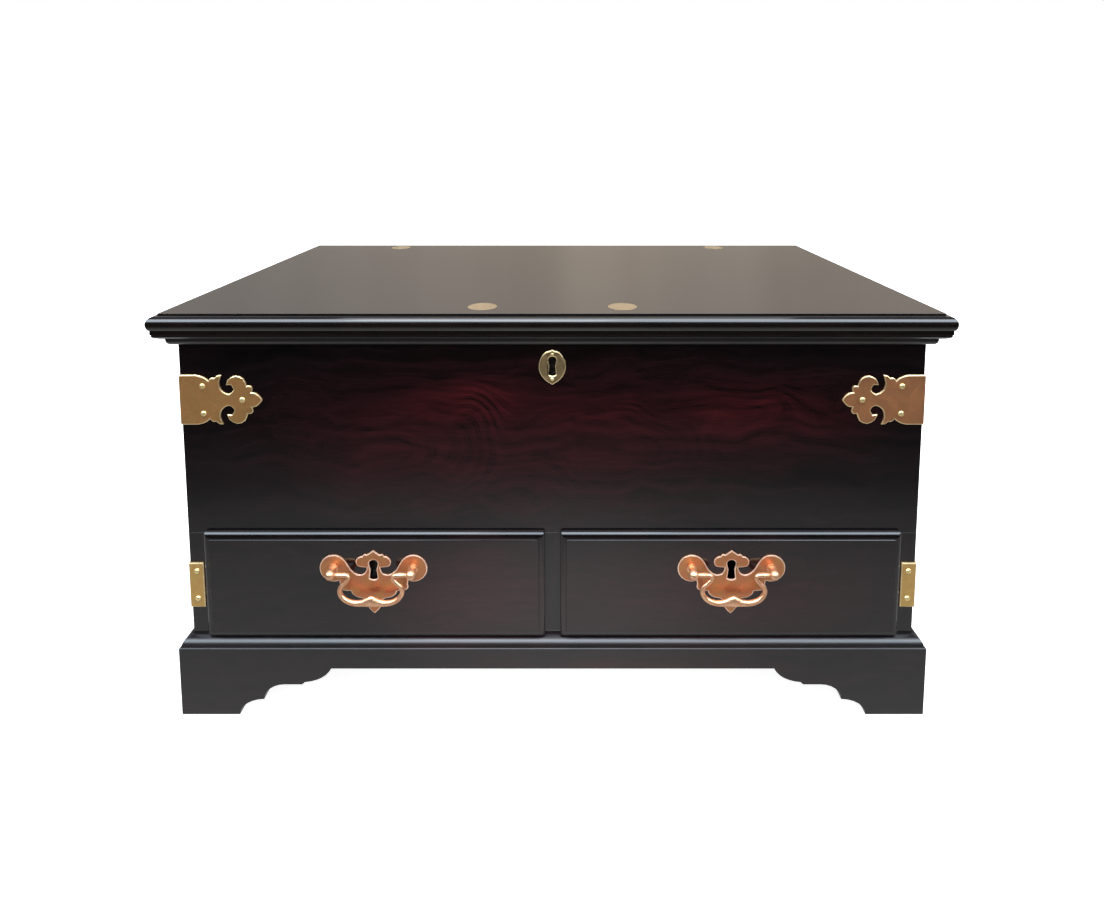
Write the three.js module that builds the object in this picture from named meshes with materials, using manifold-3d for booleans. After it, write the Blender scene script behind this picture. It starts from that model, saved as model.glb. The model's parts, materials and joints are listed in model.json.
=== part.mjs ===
// Mule chest: a low hardwood chest with a hinged, moulded lid over two lipped drawers. It stands on a
// plinth with scrolled bracket feet and is fitted with fret-cut brass mounts.
// Millimetres, +Z up, the front faces -Y. The feet stand on z = 0. While the pieces are laid out, the
// carcase's front face is at y = 0; the last lines centre the whole chest in y.

import * as THREE from "three";
import { mergeVertices } from "three/addons/utils/BufferGeometryUtils.js";
import Module from "manifold-3d";

const wasm = await Module();
wasm.setup();

// Clearances
const fitGap = 0.3; // between pieces that are cut to fit each other
const mitreGap = 0.4; // along the length, where two mouldings meet at a corner
const slideGap = 1; // each side of a drawer in its opening
const overrun = 3; // how far a cut runs past the face that it opens
const weldDistance = 0.001; // corners nearer than this are one corner

// Carcase
const bodyWidth = 1000;
const bodyDepth = 561;
const bodyTop = 541;
const frontThickness = 25;
const sideThickness = 27;
const backThickness = 20;
const floorThickness = 18;
const baseThickness = 21;
const dividerThickness = 29;
const housingDepth = 8; // how far the floor and the back board enter the sides
const openingBottom = 114;
const openingTop = 257;

// Lid
const lidThickness = 27;
const lidOverhang = 27; // front and sides, to the widest part of the nose
const lidBackOverhang = 14;
const lidFilletOut = 23.4; // the plain band under the nose
const lidFilletHeight = 6;
const noseMiddle = 14.7; // height of the widest part above the lid's underside
const noseDepth = 8.4;
const noseTopHeight = 9.5;
const noseLowHeight = 12;
const noseLowAngle = THREE.MathUtils.degToRad(-45);
const topFlatOut = 16; // where the lid's flat top ends
const noseSegments = 8;

// Moulding under the lid's edge
const lidMouldingOut = 22.4;
const lidMouldingDrop = 17;
const lidMouldingClearance = 1; // to the face of the carcase

// Brass discs let into the lid
const discRadius = 20;
const discThickness = 3;
const discShankRadius = 3;
const discShankLength = 18;
const frontDiscX = 95.5;
const frontDiscY = 23;
const backDiscInset = 31; // from the lid's back edge
const roundSegments = 32;

// Hinges
const hingeFromEnd = 169; // from the carcase's end to the hinge's middle, and to the disc above it
const hingeLength = 76;
const leafThickness = 2.2;
const lidLeafReach = 41; // from the pin, forward under the lid
const caseLeafReach = 44; // from the pin, down the back
const pinSetBack = 3; // behind the back face of the carcase
const barrelRadius = 4;
const pinRadius = 2;
const barrelSegments = 16;
const knuckleShare = 1 / 3; // the middle knuckle's share of the hinge

// Plinth
const plinthTop = 109.2;
const plinthOut = 14.5;
const plinthLedge = 12; // how far the plinth runs under the carcase
const plinthFaceTop = 97.8;
const plinthFilletWidth = 2.2;
const plinthOvoloWidth = 5.8;
const plinthOvoloHeight = 8.6;
const ovoloSegments = 4;
const skirtHeight = 68; // the skirt's lower edge above the floor
const footFlat = 80.5;
const footFirstCusp = 115;
const footFirstHeight = 22.8;
const footSecondRound = 143.5;
const footSecondHeight = 44.5;
const footSecondFlat = 168.5;
const footStep = 171.7;
const footStepHeight = 47.8;
const footEnd = 209;
const footBellyX = 200;
const footBellyHeight = 50.5;
const footSegments = 6;
const backRailThickness = 20;
const backFootFlat = 95;
const glueBlockSide = 38;
const glueBlockLift = 4; // the blocks stop this far above the floor

// Drawers
const lipOverlap = 4;
const lipClearance = 0.3; // between the lip and the carcase
const lipEdge = 3.2; // thickness of the lip's outer edge
const lipOvoloWidth = 6.5;
const lipOvoloDepth = 5;
const lipFilletWidth = 1.5;
const lipFilletDepth = 2.5;
const lipCornerRadius = 2.5;
const cornerSegments = 2;
const drawerFrontInside = 14; // from the carcase's front plane to the inner face of the drawer front
const drawerTopGap = 1.5;
const drawerSideThickness = 12;
const drawerSideDrop = 3; // how far the drawer sides stop below the front's top edge
const drawerBackGap = 21; // behind the closed drawer
const drawerBottomThickness = 8;
const drawerBottomRise = 10;
const drawerGrooveDepth = 5;
const tailCount = 3;
const tailLength = 13;
const tailWideShare = 0.72; // of the pitch of the dovetails
const tailNarrowShare = 0.54;

// Drawer pulls
const postSpacing = 108.3;
const pullRise = 27.9; // of the posts above the middle of the opening
const plateThickness = 2;
const roundEndRadius = 19.2;
const postReach = 14; // from the plate to the bail's pivot
const postBallRadius = 7;
const postNeckRadius = 4.8;
const postCollarRadius = 6.8;
const postCollarThickness = 1.6;
const postShankRadius = 2.6;
const postRivetRadius = 5;
const postRivetThickness = 1.6;
const postSegments = 12;
const bailPinRadius = 2.2;
const bailSegments = 8;
const bailHalfDepth = 3.3;
const bailCentreHalfDepth = 4.2;
const keyholeWidth = 12.4;
const keyholeHeight = 28;
const keyholeDrop = 2; // of the keyhole's middle below the posts

// Corner straps
const strapThickness = 2;
const upperStrapLength = 110;
const upperStrapHeight = 69;
const upperStrapDrop = 95; // of its middle below the carcase's top edge
const lowerStrapHeight = 64.5;
const lowerStrapFront = 19;
const lowerStrapSide = 45;
const lowerStrapRise = 67.9; // of its middle above the drawer opening's lower edge

// Chest lock
const escutcheonWidth = 36.5;
const escutcheonHeight = 48;
const escutcheonThickness = 1.6;
const escutcheonDrop = 50; // of its middle below the carcase's top edge
const chestKeyholeWidth = 11.2;
const chestKeyholeHeight = 27;
const chestKeyholeRise = 1.4; // of the keyhole's middle above the escutcheon's
const chestLockWidth = 90;
const chestLockHeight = 69;
const chestLockDepth = 13;
const lockWall = 1.7;
const selvedgeThickness = 2;
const selvedgeMargin = 3;
const selvedgeDepth = 17;
const lugSpacing = 40;
const lugWidth = 5;
const lugLength = 17;
const lugDepth = 8.4;
const lugClearance = 0.6;
const lugEyeHeight = 6;
const lugEyeRise = 3; // of the eye above the lug's lower end
const lugEyeDepth = 5;
const keeperThickness = 2;
const keeperMargin = 9;
const chestBoltThickness = 4;
const chestBoltBar = 7;
const chestBoltProng = 10;
const chestBoltPost = 5;
const chestBoltTravel = 10;
const prongHeight = 5;
const prongClearance = 1;
const leverRoomWidth = 28;

// Drawer locks
const drawerLockWidth = 62;
const drawerLockHeight = 76;
const drawerLockDepth = 10;
const drawerBoltWidth = 20;
const drawerBoltThickness = 5;
const drawerBoltLength = 34;
const drawerBoltTravel = 8;

// Places that follow from the sizes
const halfWidth = bodyWidth / 2;
const sideInner = halfWidth - sideThickness;
const backInner = bodyDepth - backThickness;
const baseUnderside = openingBottom - baseThickness;
const floorTop = openingTop + floorThickness;
const lidTop = bodyTop + lidThickness;
const lidBack = bodyDepth + lidBackOverhang;
const hingeX = halfWidth - hingeFromEnd;
const openingNear = dividerThickness / 2;
const openingMiddleX = (openingNear + sideInner) / 2;
const openingHalfWidth = (sideInner - openingNear) / 2;
const postZ = (openingBottom + openingTop) / 2 + pullRise;
const drawerFace = -(lipClearance + lipEdge + lipOvoloDepth + lipFilletDepth);
const plateFace = drawerFace - plateThickness;
const bailY = plateFace - postReach;
const pinY = bodyDepth + pinSetBack;
const escutcheonZ = bodyTop - escutcheonDrop;
const chestKeyholeZ = escutcheonZ + chestKeyholeRise;

// Outlines as shares of the piece's own sizes. Each row is one stretch: a stretch with one point is
// straight, a longer one is a smooth curve through its points.
const fleurStart = [0, 1];
const fleurShares = [
  [[0.2, 1]],
  [[0.26, 0.955], [0.315, 0.87], [0.35, 0.774]],
  [[0.364, 0.842], [0.391, 0.889], [0.421, 0.877]],
  [[0.462, 0.98], [0.511, 0.994]],
  [[0.478, 0.7], [0.5, 0.4], [0.587, 0.232], [0.652, 0.4], [0.62, 0.601]],
  [[0.56, 0.592]],
  [[0.59, 0.818], [0.681, 0.971], [0.778, 0.853], [0.815, 0.56]],
  [[0.857, 0.565], [0.885, 0.45], [0.87, 0.305]],
  [[0.925, 0.265], [0.972, 0.13], [1, 0]],
];
const crownStart = [0, 0.238];
const crownShares = [
  [[0.04, 0.207], [0.083, 0.18]],
  [[0.106, 0.187], [0.127, 0.175], [0.137, 0.159]],
  [[0.174, 0.152], [0.214, 0.117], [0.22, 0.07], [0.198, 0.028], [0.15, 0.016], [0.084, 0.011]],
  [[0.095, -0.035], [0.125, -0.072], [0.178, -0.085], [0.235, -0.064], [0.29, -0.012]],
];
const wingStartShare = 0.845; // of half a turn, where the plate's upper edge meets the round end
const wingEndShare = -0.622; // of half a turn, where its lower edge leaves it
const skirtShares = [
  [[0.427, -0.213]],
  [[0.434, -0.25], [0.41, -0.284], [0.362, -0.299], [0.288, -0.303]],
  [[0.272, -0.345], [0.21, -0.388], [0.134, -0.402], [0.094, -0.434]],
  [[0.09, -0.494], [0.052, -0.553], [0, -0.603]],
];
const escutcheonStart = [0, 1];
const escutcheonShares = [
  [[0.16, 0.93]],
  [[0.45, 0.88], [0.74, 0.66], [0.96, 0.29], [0.985, -0.12], [0.77, -0.53], [0.42, -0.81], [0.17, -0.93]],
  [[0.08, -0.985], [0, -1]],
];
const keyholeStart = [0, 1];
const keyholeShares = [
  [[0.62, 0.93], [1, 0.66], [0.86, 0.34]],
  [[0.66, 0]],
  [[0.9, -0.86]],
  [[0.5, -0.97], [0, -1]],
];
const lidMouldingShares = [
  [1, 0],
  [1, -0.18],
  [0.89, -0.3],
  [0.7, -0.41],
  [0.5, -0.49],
  [0.49, -0.58],
  [0.48, -0.72],
  [0.43, -0.87],
  [0.35, -0.97],
  [0.31, -1],
];
// The bail's centre line from its middle to its neck, and its half height there, in post spacings
const bailShares = [
  [0, -0.344, 0.077],
  [0.048, -0.358, 0.06],
  [0.104, -0.37, 0.043],
  [0.178, -0.375, 0.036],
  [0.256, -0.364, 0.035],
  [0.334, -0.324, 0.032],
  [0.384, -0.258, 0.03],
  [0.392, -0.197, 0.029],
  [0.366, -0.146, 0.028],
  [0.318, -0.104, 0.027],
  [0.281, -0.062, 0.027],
  [0.268, -0.028, 0.027],
  [0.287, -0.004, 0.027],
  [0.33, 0, 0.027],
];
const bailStubShare = 0.428; // of the post spacing, where the thick wire steps down to its pin
const bailPinShare = 0.492;

// A closed solid, for joining and cutting, from a three.js geometry.
function solidOf(geometry) {
  const source = geometry.index ? geometry.toNonIndexed() : geometry;
  const bare = new THREE.BufferGeometry();
  bare.setAttribute("position", source.getAttribute("position"));
  const merged = mergeVertices(bare, weldDistance);
  const vertProperties = merged.getAttribute("position").array;
  const triVerts = new Uint32Array(merged.index.array);
  return new wasm.Manifold(new wasm.Mesh({ numProp: 3, vertProperties, triVerts }));
}

function geometryOf(solid) {
  const mesh = solid.getMesh();
  const indexed = new THREE.BufferGeometry();
  indexed.setAttribute("position", new THREE.BufferAttribute(mesh.vertProperties, 3));
  indexed.setIndex(new THREE.BufferAttribute(mesh.triVerts, 1));
  const geometry = indexed.toNonIndexed();
  geometry.computeVertexNormals();
  return geometry;
}

function cut(geometry, ...tools) {
  const rest = tools.reduce((solid, tool) => solid.subtract(solidOf(tool)), solidOf(geometry));
  return geometryOf(rest);
}

function join(geometry, ...others) {
  const whole = others.reduce((solid, other) => solid.add(solidOf(other)), solidOf(geometry));
  return geometryOf(whole);
}

// A rectangular block between a low and a high value on each axis.
function block(x, y, z) {
  const geometry = new THREE.BoxGeometry(1, 1, 1);
  const position = geometry.getAttribute("position");
  for (let i = 0; i < position.count; i += 1) {
    const cornerX = position.getX(i) < 0 ? x[0] : x[1];
    const cornerY = position.getY(i) < 0 ? y[0] : y[1];
    const cornerZ = position.getZ(i) < 0 ? z[0] : z[1];
    position.setXYZ(i, cornerX, cornerY, cornerZ);
  }
  return geometry;
}

// A range of x on the left (side -1) or the right (side 1) of the chest.
function mirrored(side, near, far) {
  return side > 0 ? [near, far] : [-far, -near];
}

// A flat outline drawn out along x (outline in y and z) or along y (outline in x and z).
function prism(shape, axis, low, high, curveSegments = ovoloSegments) {
  const options = { depth: 1, bevelEnabled: false, curveSegments };
  const geometry = new THREE.ExtrudeGeometry(shape, options);
  const position = geometry.getAttribute("position");
  for (let i = 0; i < position.count; i += 1) {
    const u = position.getX(i);
    const v = position.getY(i);
    const atEnd = position.getZ(i) > 0;
    if (axis === "x") {
      position.setXYZ(i, atEnd ? high : low, u, v);
    } else {
      position.setXYZ(i, u, atEnd ? low : high, v);
    }
  }
  geometry.computeVertexNormals();
  return geometry;
}

// Turns a closed indexed geometry's faces outwards, by the sign of its volume.
function faceOutwards(geometry) {
  const position = geometry.getAttribute("position");
  const index = geometry.index.array;
  const corner = [new THREE.Vector3(), new THREE.Vector3(), new THREE.Vector3()];
  let volume = 0;
  for (let i = 0; i < index.length; i += 3) {
    corner.forEach((point, k) => point.fromBufferAttribute(position, index[i + k]));
    volume += corner[0].dot(corner[1].cross(corner[2]));
  }
  if (volume < 0) {
    for (let i = 0; i < index.length; i += 3) {
      [index[i + 1], index[i + 2]] = [index[i + 2], index[i + 1]];
    }
  }
  return geometry;
}

// A closed skin through a row of rings, which all have the corners of one flat section.
function loft(section, rings) {
  const flat = section.map(([u, v]) => new THREE.Vector2(u, v));
  const order = flat.map((point, i) => i);
  if (THREE.ShapeUtils.isClockWise(flat)) {
    flat.reverse();
    order.reverse();
  }
  const count = flat.length;
  const last = (rings.length - 1) * count;
  const index = [];
  for (const [a, b, c] of THREE.ShapeUtils.triangulateShape(flat, [])) {
    index.push(a, c, b, last + a, last + b, last + c);
  }
  for (let ring = 0; ring < rings.length - 1; ring += 1) {
    for (let i = 0; i < count; i += 1) {
      const here = ring * count + i;
      const next = ring * count + ((i + 1) % count);
      index.push(here, next, next + count, here, next + count, here + count);
    }
  }
  const points = rings.flatMap((ring) => order.map((i) => ring[i]));
  const geometry = new THREE.BufferGeometry().setFromPoints(points);
  geometry.setIndex(index);
  faceOutwards(geometry);
  geometry.computeVertexNormals();
  return geometry;
}

// A moulding whose section, in distance out from the carcase and height, runs between two places.
function moulding(section, startOf, endOf) {
  const start = section.map(([out, z]) => new THREE.Vector3(...startOf(out), z));
  const end = section.map(([out, z]) => new THREE.Vector3(...endOf(out), z));
  return loft(section, [start, end]);
}

// A solid turned about an axis along y. The profile is in radius and y.
function turned(profile, x, z, segments) {
  const points = profile.map(([radius, y]) => new THREE.Vector2(radius, y));
  const geometry = new THREE.LatheGeometry(points, segments);
  faceOutwards(geometry);
  geometry.translate(x, 0, z);
  return geometry;
}

// A rod along x with its middle at the given place.
function rod(radius, low, high, y, z, segments) {
  const geometry = new THREE.CylinderGeometry(radius, radius, high - low, segments);
  geometry.rotateZ(Math.PI / 2);
  geometry.translate((low + high) / 2, y, z);
  return geometry;
}

// The points of an outline, from its start along its stretches of shares.
function traced(start, stretches, steps) {
  const points = [new THREE.Vector2(...start)];
  for (const stretch of stretches) {
    const through = [points[points.length - 1], ...stretch.map((pair) => new THREE.Vector2(...pair))];
    if (stretch.length === 1) {
      points.push(through[1]);
    } else {
      points.push(...new THREE.SplineCurve(through).getPoints(steps * stretch.length).slice(1));
    }
  }
  return points;
}

// Half an outline and its mirror image, as one closed shape. The half runs down from the middle line's
// top to its foot, and the whole is turned round to run anticlockwise.
function symmetrical(half) {
  const back = half.slice(1, -1).reverse();
  const other = back.map((point) => new THREE.Vector2(-point.x, point.y));
  return new THREE.Shape([...half, ...other].reverse());
}

function scaled(points, across, up, middleX, middleZ) {
  return points.map((point) => new THREE.Vector2(middleX + point.x * across, middleZ + point.y * up));
}

// A quarter ellipse from one point to another. The start's tangent is along the first axis.
function quarterRound(from, to, segments) {
  const points = [];
  for (let i = 1; i < segments; i += 1) {
    const angle = ((Math.PI / 2) * i) / segments;
    const first = from[0] + (to[0] - from[0]) * Math.sin(angle);
    const second = from[1] + (to[1] - from[1]) * (1 - Math.cos(angle));
    points.push([first, second]);
  }
  return [from, ...points, to];
}

const chest = new THREE.Group();
const lid = new THREE.Group();
chest.add(lid);

const finishes = {
  frontWood: { color: "#2b1518", roughness: 0.28, metalness: 0 },
  caseWood: { color: "#2a1e1e", roughness: 0.3, metalness: 0 },
  insideWood: { color: "#4a3226", roughness: 0.6, metalness: 0 },
  drawerWood: { color: "#8a6a48", roughness: 0.7, metalness: 0 },
  strapBrass: { color: "#98774a", roughness: 0.35, metalness: 1 },
  discBrass: { color: "#cdb593", roughness: 0.4, metalness: 1 },
  pullBrass: { color: "#b8754c", roughness: 0.25, metalness: 1 },
  hingeBrass: { color: "#9a8048", roughness: 0.4, metalness: 1 },
  lockSteel: { color: "#6a665f", roughness: 0.45, metalness: 1 },
};

function place(group, name, geometry, finish) {
  const mesh = new THREE.Mesh(geometry, new THREE.MeshStandardMaterial(finishes[finish]));
  mesh.name = name;
  group.add(mesh);
  return mesh;
}

function keyholeShape(width, height, x, z) {
  const half = traced(keyholeStart, keyholeShares, 2);
  return symmetrical(scaled(half, width / 2, height / 2, x, z));
}

// Carcase boards

function makeSides() {
  for (const [side, name] of [[-1, "left_side"], [1, "right_side"]]) {
    const outline = new THREE.Shape([
      new THREE.Vector2(0, baseUnderside),
      new THREE.Vector2(bodyDepth, baseUnderside),
      new THREE.Vector2(bodyDepth, bodyTop),
      new THREE.Vector2(frontThickness, bodyTop),
      new THREE.Vector2(frontThickness, openingTop),
      new THREE.Vector2(0, openingTop),
    ]);
    const [low, high] = mirrored(side, sideInner, halfWidth);
    const housing = mirrored(side, sideInner - overrun, sideInner + housingDepth);
    const floorHousing = block(housing, [frontThickness, backInner], [openingTop, floorTop]);
    const backY = [backInner, bodyDepth + overrun];
    const backRebate = block(housing, backY, [baseUnderside - overrun, bodyTop + overrun]);
    place(chest, name, cut(prism(outline, "x", low, high), floorHousing, backRebate), "caseWood");
  }
}

function makeFrontBoard() {
  const board = block([-halfWidth, halfWidth], [0, frontThickness], [openingTop, bodyTop]);
  const lockX = chestLockWidth / 2 + fitGap;
  const lockY = frontThickness - chestLockDepth - fitGap;
  const mortise = block(
    [-lockX, lockX],
    [lockY, frontThickness + overrun],
    [bodyTop - chestLockHeight - fitGap, bodyTop + overrun],
  );
  const selvedgeX = chestLockWidth / 2 + selvedgeMargin + fitGap;
  const selvedge = block(
    [-selvedgeX, selvedgeX],
    [frontThickness - selvedgeDepth - fitGap, frontThickness + overrun],
    [bodyTop - selvedgeThickness, bodyTop + overrun],
  );
  const keyhole = keyholeShape(chestKeyholeWidth, chestKeyholeHeight, 0, chestKeyholeZ);
  const boltMortises = [-1, 1].map((side) => {
    const middle = side * openingMiddleX;
    const reach = drawerBoltWidth / 2 + slideGap;
    return block(
      [middle - reach, middle + reach],
      [drawerBoltY - drawerBoltThickness / 2 - slideGap, drawerBoltY + drawerBoltThickness / 2 + slideGap],
      [openingTop - overrun, openingTop + drawerBoltTravel],
    );
  });
  const tools = [mortise, selvedge, prism(keyhole, "y", -overrun, lockY + overrun), ...boltMortises];
  place(chest, "front_board", cut(board, ...tools), "frontWood");
}

function makeInsideBoards() {
  const housed = sideInner + housingDepth;
  const depth = [frontThickness, backInner];
  place(chest, "chest_floor", block([-housed, housed], depth, [openingTop, floorTop]), "insideWood");
  const baseZ = [baseUnderside, openingBottom];
  place(chest, "base_board", block([-sideInner, sideInner], [0, backInner], baseZ), "caseWood");
  const dividerZ = [openingBottom, openingTop];
  const divider = block([-openingNear, openingNear], [0, backInner], dividerZ);
  place(chest, "drawer_divider", divider, "caseWood");
}

function makeBackBoard() {
  const housed = sideInner + housingDepth;
  const board = block([-housed, housed], [backInner, bodyDepth], [baseUnderside, bodyTop]);
  const recesses = [-1, 1].flatMap((side) => {
    const middle = side * hingeX;
    const across = [middle - hingeLength / 2 - fitGap, middle + hingeLength / 2 + fitGap];
    const leafY = [bodyDepth - leafThickness, bodyDepth + overrun];
    const leafZ = [bodyTop - caseLeafReach - fitGap, bodyTop + overrun];
    const barrel = barrelRadius + fitGap;
    const barrelY = [pinY - barrel, bodyDepth + overrun];
    return [block(across, leafY, leafZ), block(across, barrelY, [bodyTop - barrel, bodyTop + overrun])];
  });
  place(chest, "back_board", cut(board, ...recesses), "caseWood");
}

// Plinth

function plinthSection() {
  const ovoloFoot = plinthOut - plinthFilletWidth;
  const flatEnd = ovoloFoot - plinthOvoloWidth;
  const ovoloLow = plinthTop - plinthOvoloHeight;
  const round = quarterRound([flatEnd, plinthTop], [ovoloFoot, ovoloLow], ovoloSegments);
  return [
    [-plinthLedge, 0],
    [plinthOut, 0],
    [plinthOut, plinthFaceTop],
    [ovoloFoot, plinthFaceTop],
    ...round.reverse(),
    [0, plinthTop],
    [0, baseUnderside],
    [-plinthLedge, baseUnderside],
  ];
}

// The space between two bracket feet, in distance along the plinth and height. It is cut right through.
function bracketOpening(start, end) {
  const outline = [];
  const firstRound = quarterRound([footFlat, 0], [footFirstCusp, footFirstHeight], footSegments);
  const firstFlipped = firstRound.map(([along, height]) => {
    return [footFlat + footFirstCusp - along, footFirstHeight - height];
  });
  outline.push(...firstFlipped.reverse());
  const from = [footFirstCusp, footFirstHeight];
  const to = [footSecondRound, footSecondHeight];
  const secondFlipped = quarterRound(from, to, footSegments).map(([along, height]) => {
    return [footFirstCusp + footSecondRound - along, footFirstHeight + footSecondHeight - height];
  });
  outline.push(...secondFlipped.reverse());
  outline.push([footSecondFlat, footSecondHeight], [footStep, footStepHeight]);
  const belly = new THREE.QuadraticBezierCurve(
    new THREE.Vector2(footStep, footStepHeight),
    new THREE.Vector2(footBellyX, footBellyHeight),
    new THREE.Vector2(footEnd, skirtHeight),
  );
  const curve = belly.getPoints(footSegments).slice(1);
  outline.push(...curve.map((point) => [point.x, point.y]));
  const near = outline.map(([along, height]) => new THREE.Vector2(start + along, height));
  const far = outline.map(([along, height]) => new THREE.Vector2(end - along, height)).reverse();
  const below = [end - footFlat, start + footFlat].map((along) => new THREE.Vector2(along, -overrun));
  return new THREE.Shape([...near, ...far, ...below]);
}

function makePlinth() {
  const section = plinthSection();
  const front = moulding(
    section,
    (out) => [-halfWidth - out, -out],
    (out) => [halfWidth + out, -out],
  );
  const frontOpening = bracketOpening(-halfWidth - plinthOut, halfWidth + plinthOut);
  const frontTool = prism(frontOpening, "y", -plinthOut - overrun, plinthLedge + overrun);
  place(chest, "plinth_front", cut(front, frontTool), "caseWood");

  for (const [side, name] of [[-1, "plinth_left"], [1, "plinth_right"]]) {
    const board = moulding(
      section,
      (out) => [side * (halfWidth + out), mitreGap - out],
      (out) => [side * (halfWidth + out), bodyDepth],
    );
    const opening = bracketOpening(-plinthOut, bodyDepth);
    const [low, high] = mirrored(side, halfWidth - plinthLedge - overrun, halfWidth + plinthOut + overrun);
    place(chest, name, cut(board, prism(opening, "x", low, high)), "caseWood");
  }

  const railEnd = halfWidth - plinthLedge;
  const slope = skirtHeight;
  const railOutline = new THREE.Shape([
    new THREE.Vector2(-railEnd, 0),
    new THREE.Vector2(-railEnd + backFootFlat, 0),
    new THREE.Vector2(-railEnd + backFootFlat + slope, skirtHeight),
    new THREE.Vector2(railEnd - backFootFlat - slope, skirtHeight),
    new THREE.Vector2(railEnd - backFootFlat, 0),
    new THREE.Vector2(railEnd, 0),
    new THREE.Vector2(railEnd, baseUnderside),
    new THREE.Vector2(-railEnd, baseUnderside),
  ]);
  const rail = prism(railOutline, "y", bodyDepth - backRailThickness, bodyDepth);
  place(chest, "plinth_back", rail, "caseWood");

  const blockZ = [glueBlockLift, baseUnderside];
  const rows = [
    ["front", [plinthLedge, plinthLedge + glueBlockSide]],
    ["back", [bodyDepth - backRailThickness - glueBlockSide, bodyDepth - backRailThickness]],
  ];
  for (const [row, blockY] of rows) {
    for (const [side, end] of [[-1, "left"], [1, "right"]]) {
      const blockX = mirrored(side, railEnd - glueBlockSide, railEnd);
      place(chest, `glue_block_${row}_${end}`, block(blockX, blockY, blockZ), "insideWood");
    }
  }
}

// Lid

function lidProfile() {
  const noseCentre = lidOverhang - noseDepth;
  const profile = [
    [lidFilletOut, bodyTop],
    [lidFilletOut, bodyTop + lidFilletHeight],
  ];
  for (let i = 0; i <= noseSegments; i += 1) {
    const angle = noseLowAngle + ((Math.PI / 2 - noseLowAngle) * i) / noseSegments;
    const reach = angle < 0 ? noseLowHeight : noseTopHeight;
    const out = noseCentre + noseDepth * Math.cos(angle);
    profile.push([out, bodyTop + noseMiddle + reach * Math.sin(angle)]);
  }
  profile.push([topFlatOut, bodyTop + noseMiddle + noseTopHeight], [topFlatOut, lidTop]);
  return profile;
}

function discProfile(gap) {
  const shankEnd = lidTop - discThickness - discShankLength - gap;
  return [
    [0, lidTop],
    [discRadius + gap, lidTop],
    [discRadius + gap, lidTop - discThickness],
    [discShankRadius + gap, lidTop - discThickness],
    [discShankRadius + gap, shankEnd],
    [0, shankEnd],
  ];
}

// A disc with its shank, or the hole for it, turned about an upright axis.
function disc(x, y, gap) {
  const profile = discProfile(gap);
  if (gap > 0) {
    profile[0][1] += overrun;
    profile[1][1] += overrun;
  }
  const geometry = turned(profile, 0, 0, roundSegments);
  geometry.rotateX(Math.PI / 2);
  geometry.translate(x, y, 0);
  return geometry;
}

const discs = [
  ["front_left", -frontDiscX, frontDiscY],
  ["front_right", frontDiscX, frontDiscY],
  ["back_left", -hingeX, lidBack - backDiscInset],
  ["back_right", hingeX, lidBack - backDiscInset],
];

function makeLid() {
  const profile = lidProfile();
  const rings = profile.map(([out, z]) => [
    new THREE.Vector3(-halfWidth - out, -out, z),
    new THREE.Vector3(halfWidth + out, -out, z),
    new THREE.Vector3(halfWidth + out, lidBack, z),
    new THREE.Vector3(-halfWidth - out, lidBack, z),
  ]);
  const corners = rings[0].map((point) => [point.x, point.y]);
  const board = loft(corners, rings);
  const under = bodyTop - overrun;
  const hingeTools = [-1, 1].flatMap((side) => {
    const middle = side * hingeX;
    const across = [middle - hingeLength / 2 - fitGap, middle + hingeLength / 2 + fitGap];
    const leafY = [pinY - lidLeafReach - fitGap, pinY];
    const barrel = barrelRadius + fitGap;
    const leaf = block(across, leafY, [under, bodyTop + leafThickness]);
    return [leaf, block(across, [pinY - barrel, lidBack + overrun], [under, bodyTop + barrel])];
  });
  const keeperX = lugSpacing / 2 + keeperMargin + fitGap;
  const keeperY = keeperSpan(fitGap);
  const keeper = block([-keeperX, keeperX], keeperY, [under, bodyTop + keeperThickness]);
  const discTools = discs.map(([, x, y]) => disc(x, y, fitGap));
  place(lid, "lid_board", cut(board, ...hingeTools, keeper, ...discTools), "caseWood");

  for (const [name, x, y] of discs) {
    place(lid, `lid_disc_${name}`, disc(x, y, 0), "discBrass");
  }

  const shares = lidMouldingShares.map(([out, drop]) => {
    return [out * lidMouldingOut, bodyTop + drop * lidMouldingDrop];
  });
  const section = [
    [lidMouldingClearance, bodyTop],
    ...shares,
    [lidMouldingClearance, bodyTop - lidMouldingDrop],
  ];
  const front = moulding(
    section,
    (out) => [-halfWidth - out, -out],
    (out) => [halfWidth + out, -out],
  );
  place(lid, "lid_moulding_front", front, "caseWood");
  for (const [side, name] of [[-1, "left"], [1, "right"]]) {
    const bar = moulding(
      section,
      (out) => [side * (halfWidth + out), mitreGap - out],
      (out) => [side * (halfWidth + out), bodyDepth],
    );
    place(lid, `lid_moulding_${name}`, bar, "caseWood");
  }
}

// Hinges: a leaf under the lid, a leaf on the back and a pin through their knuckles

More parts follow.
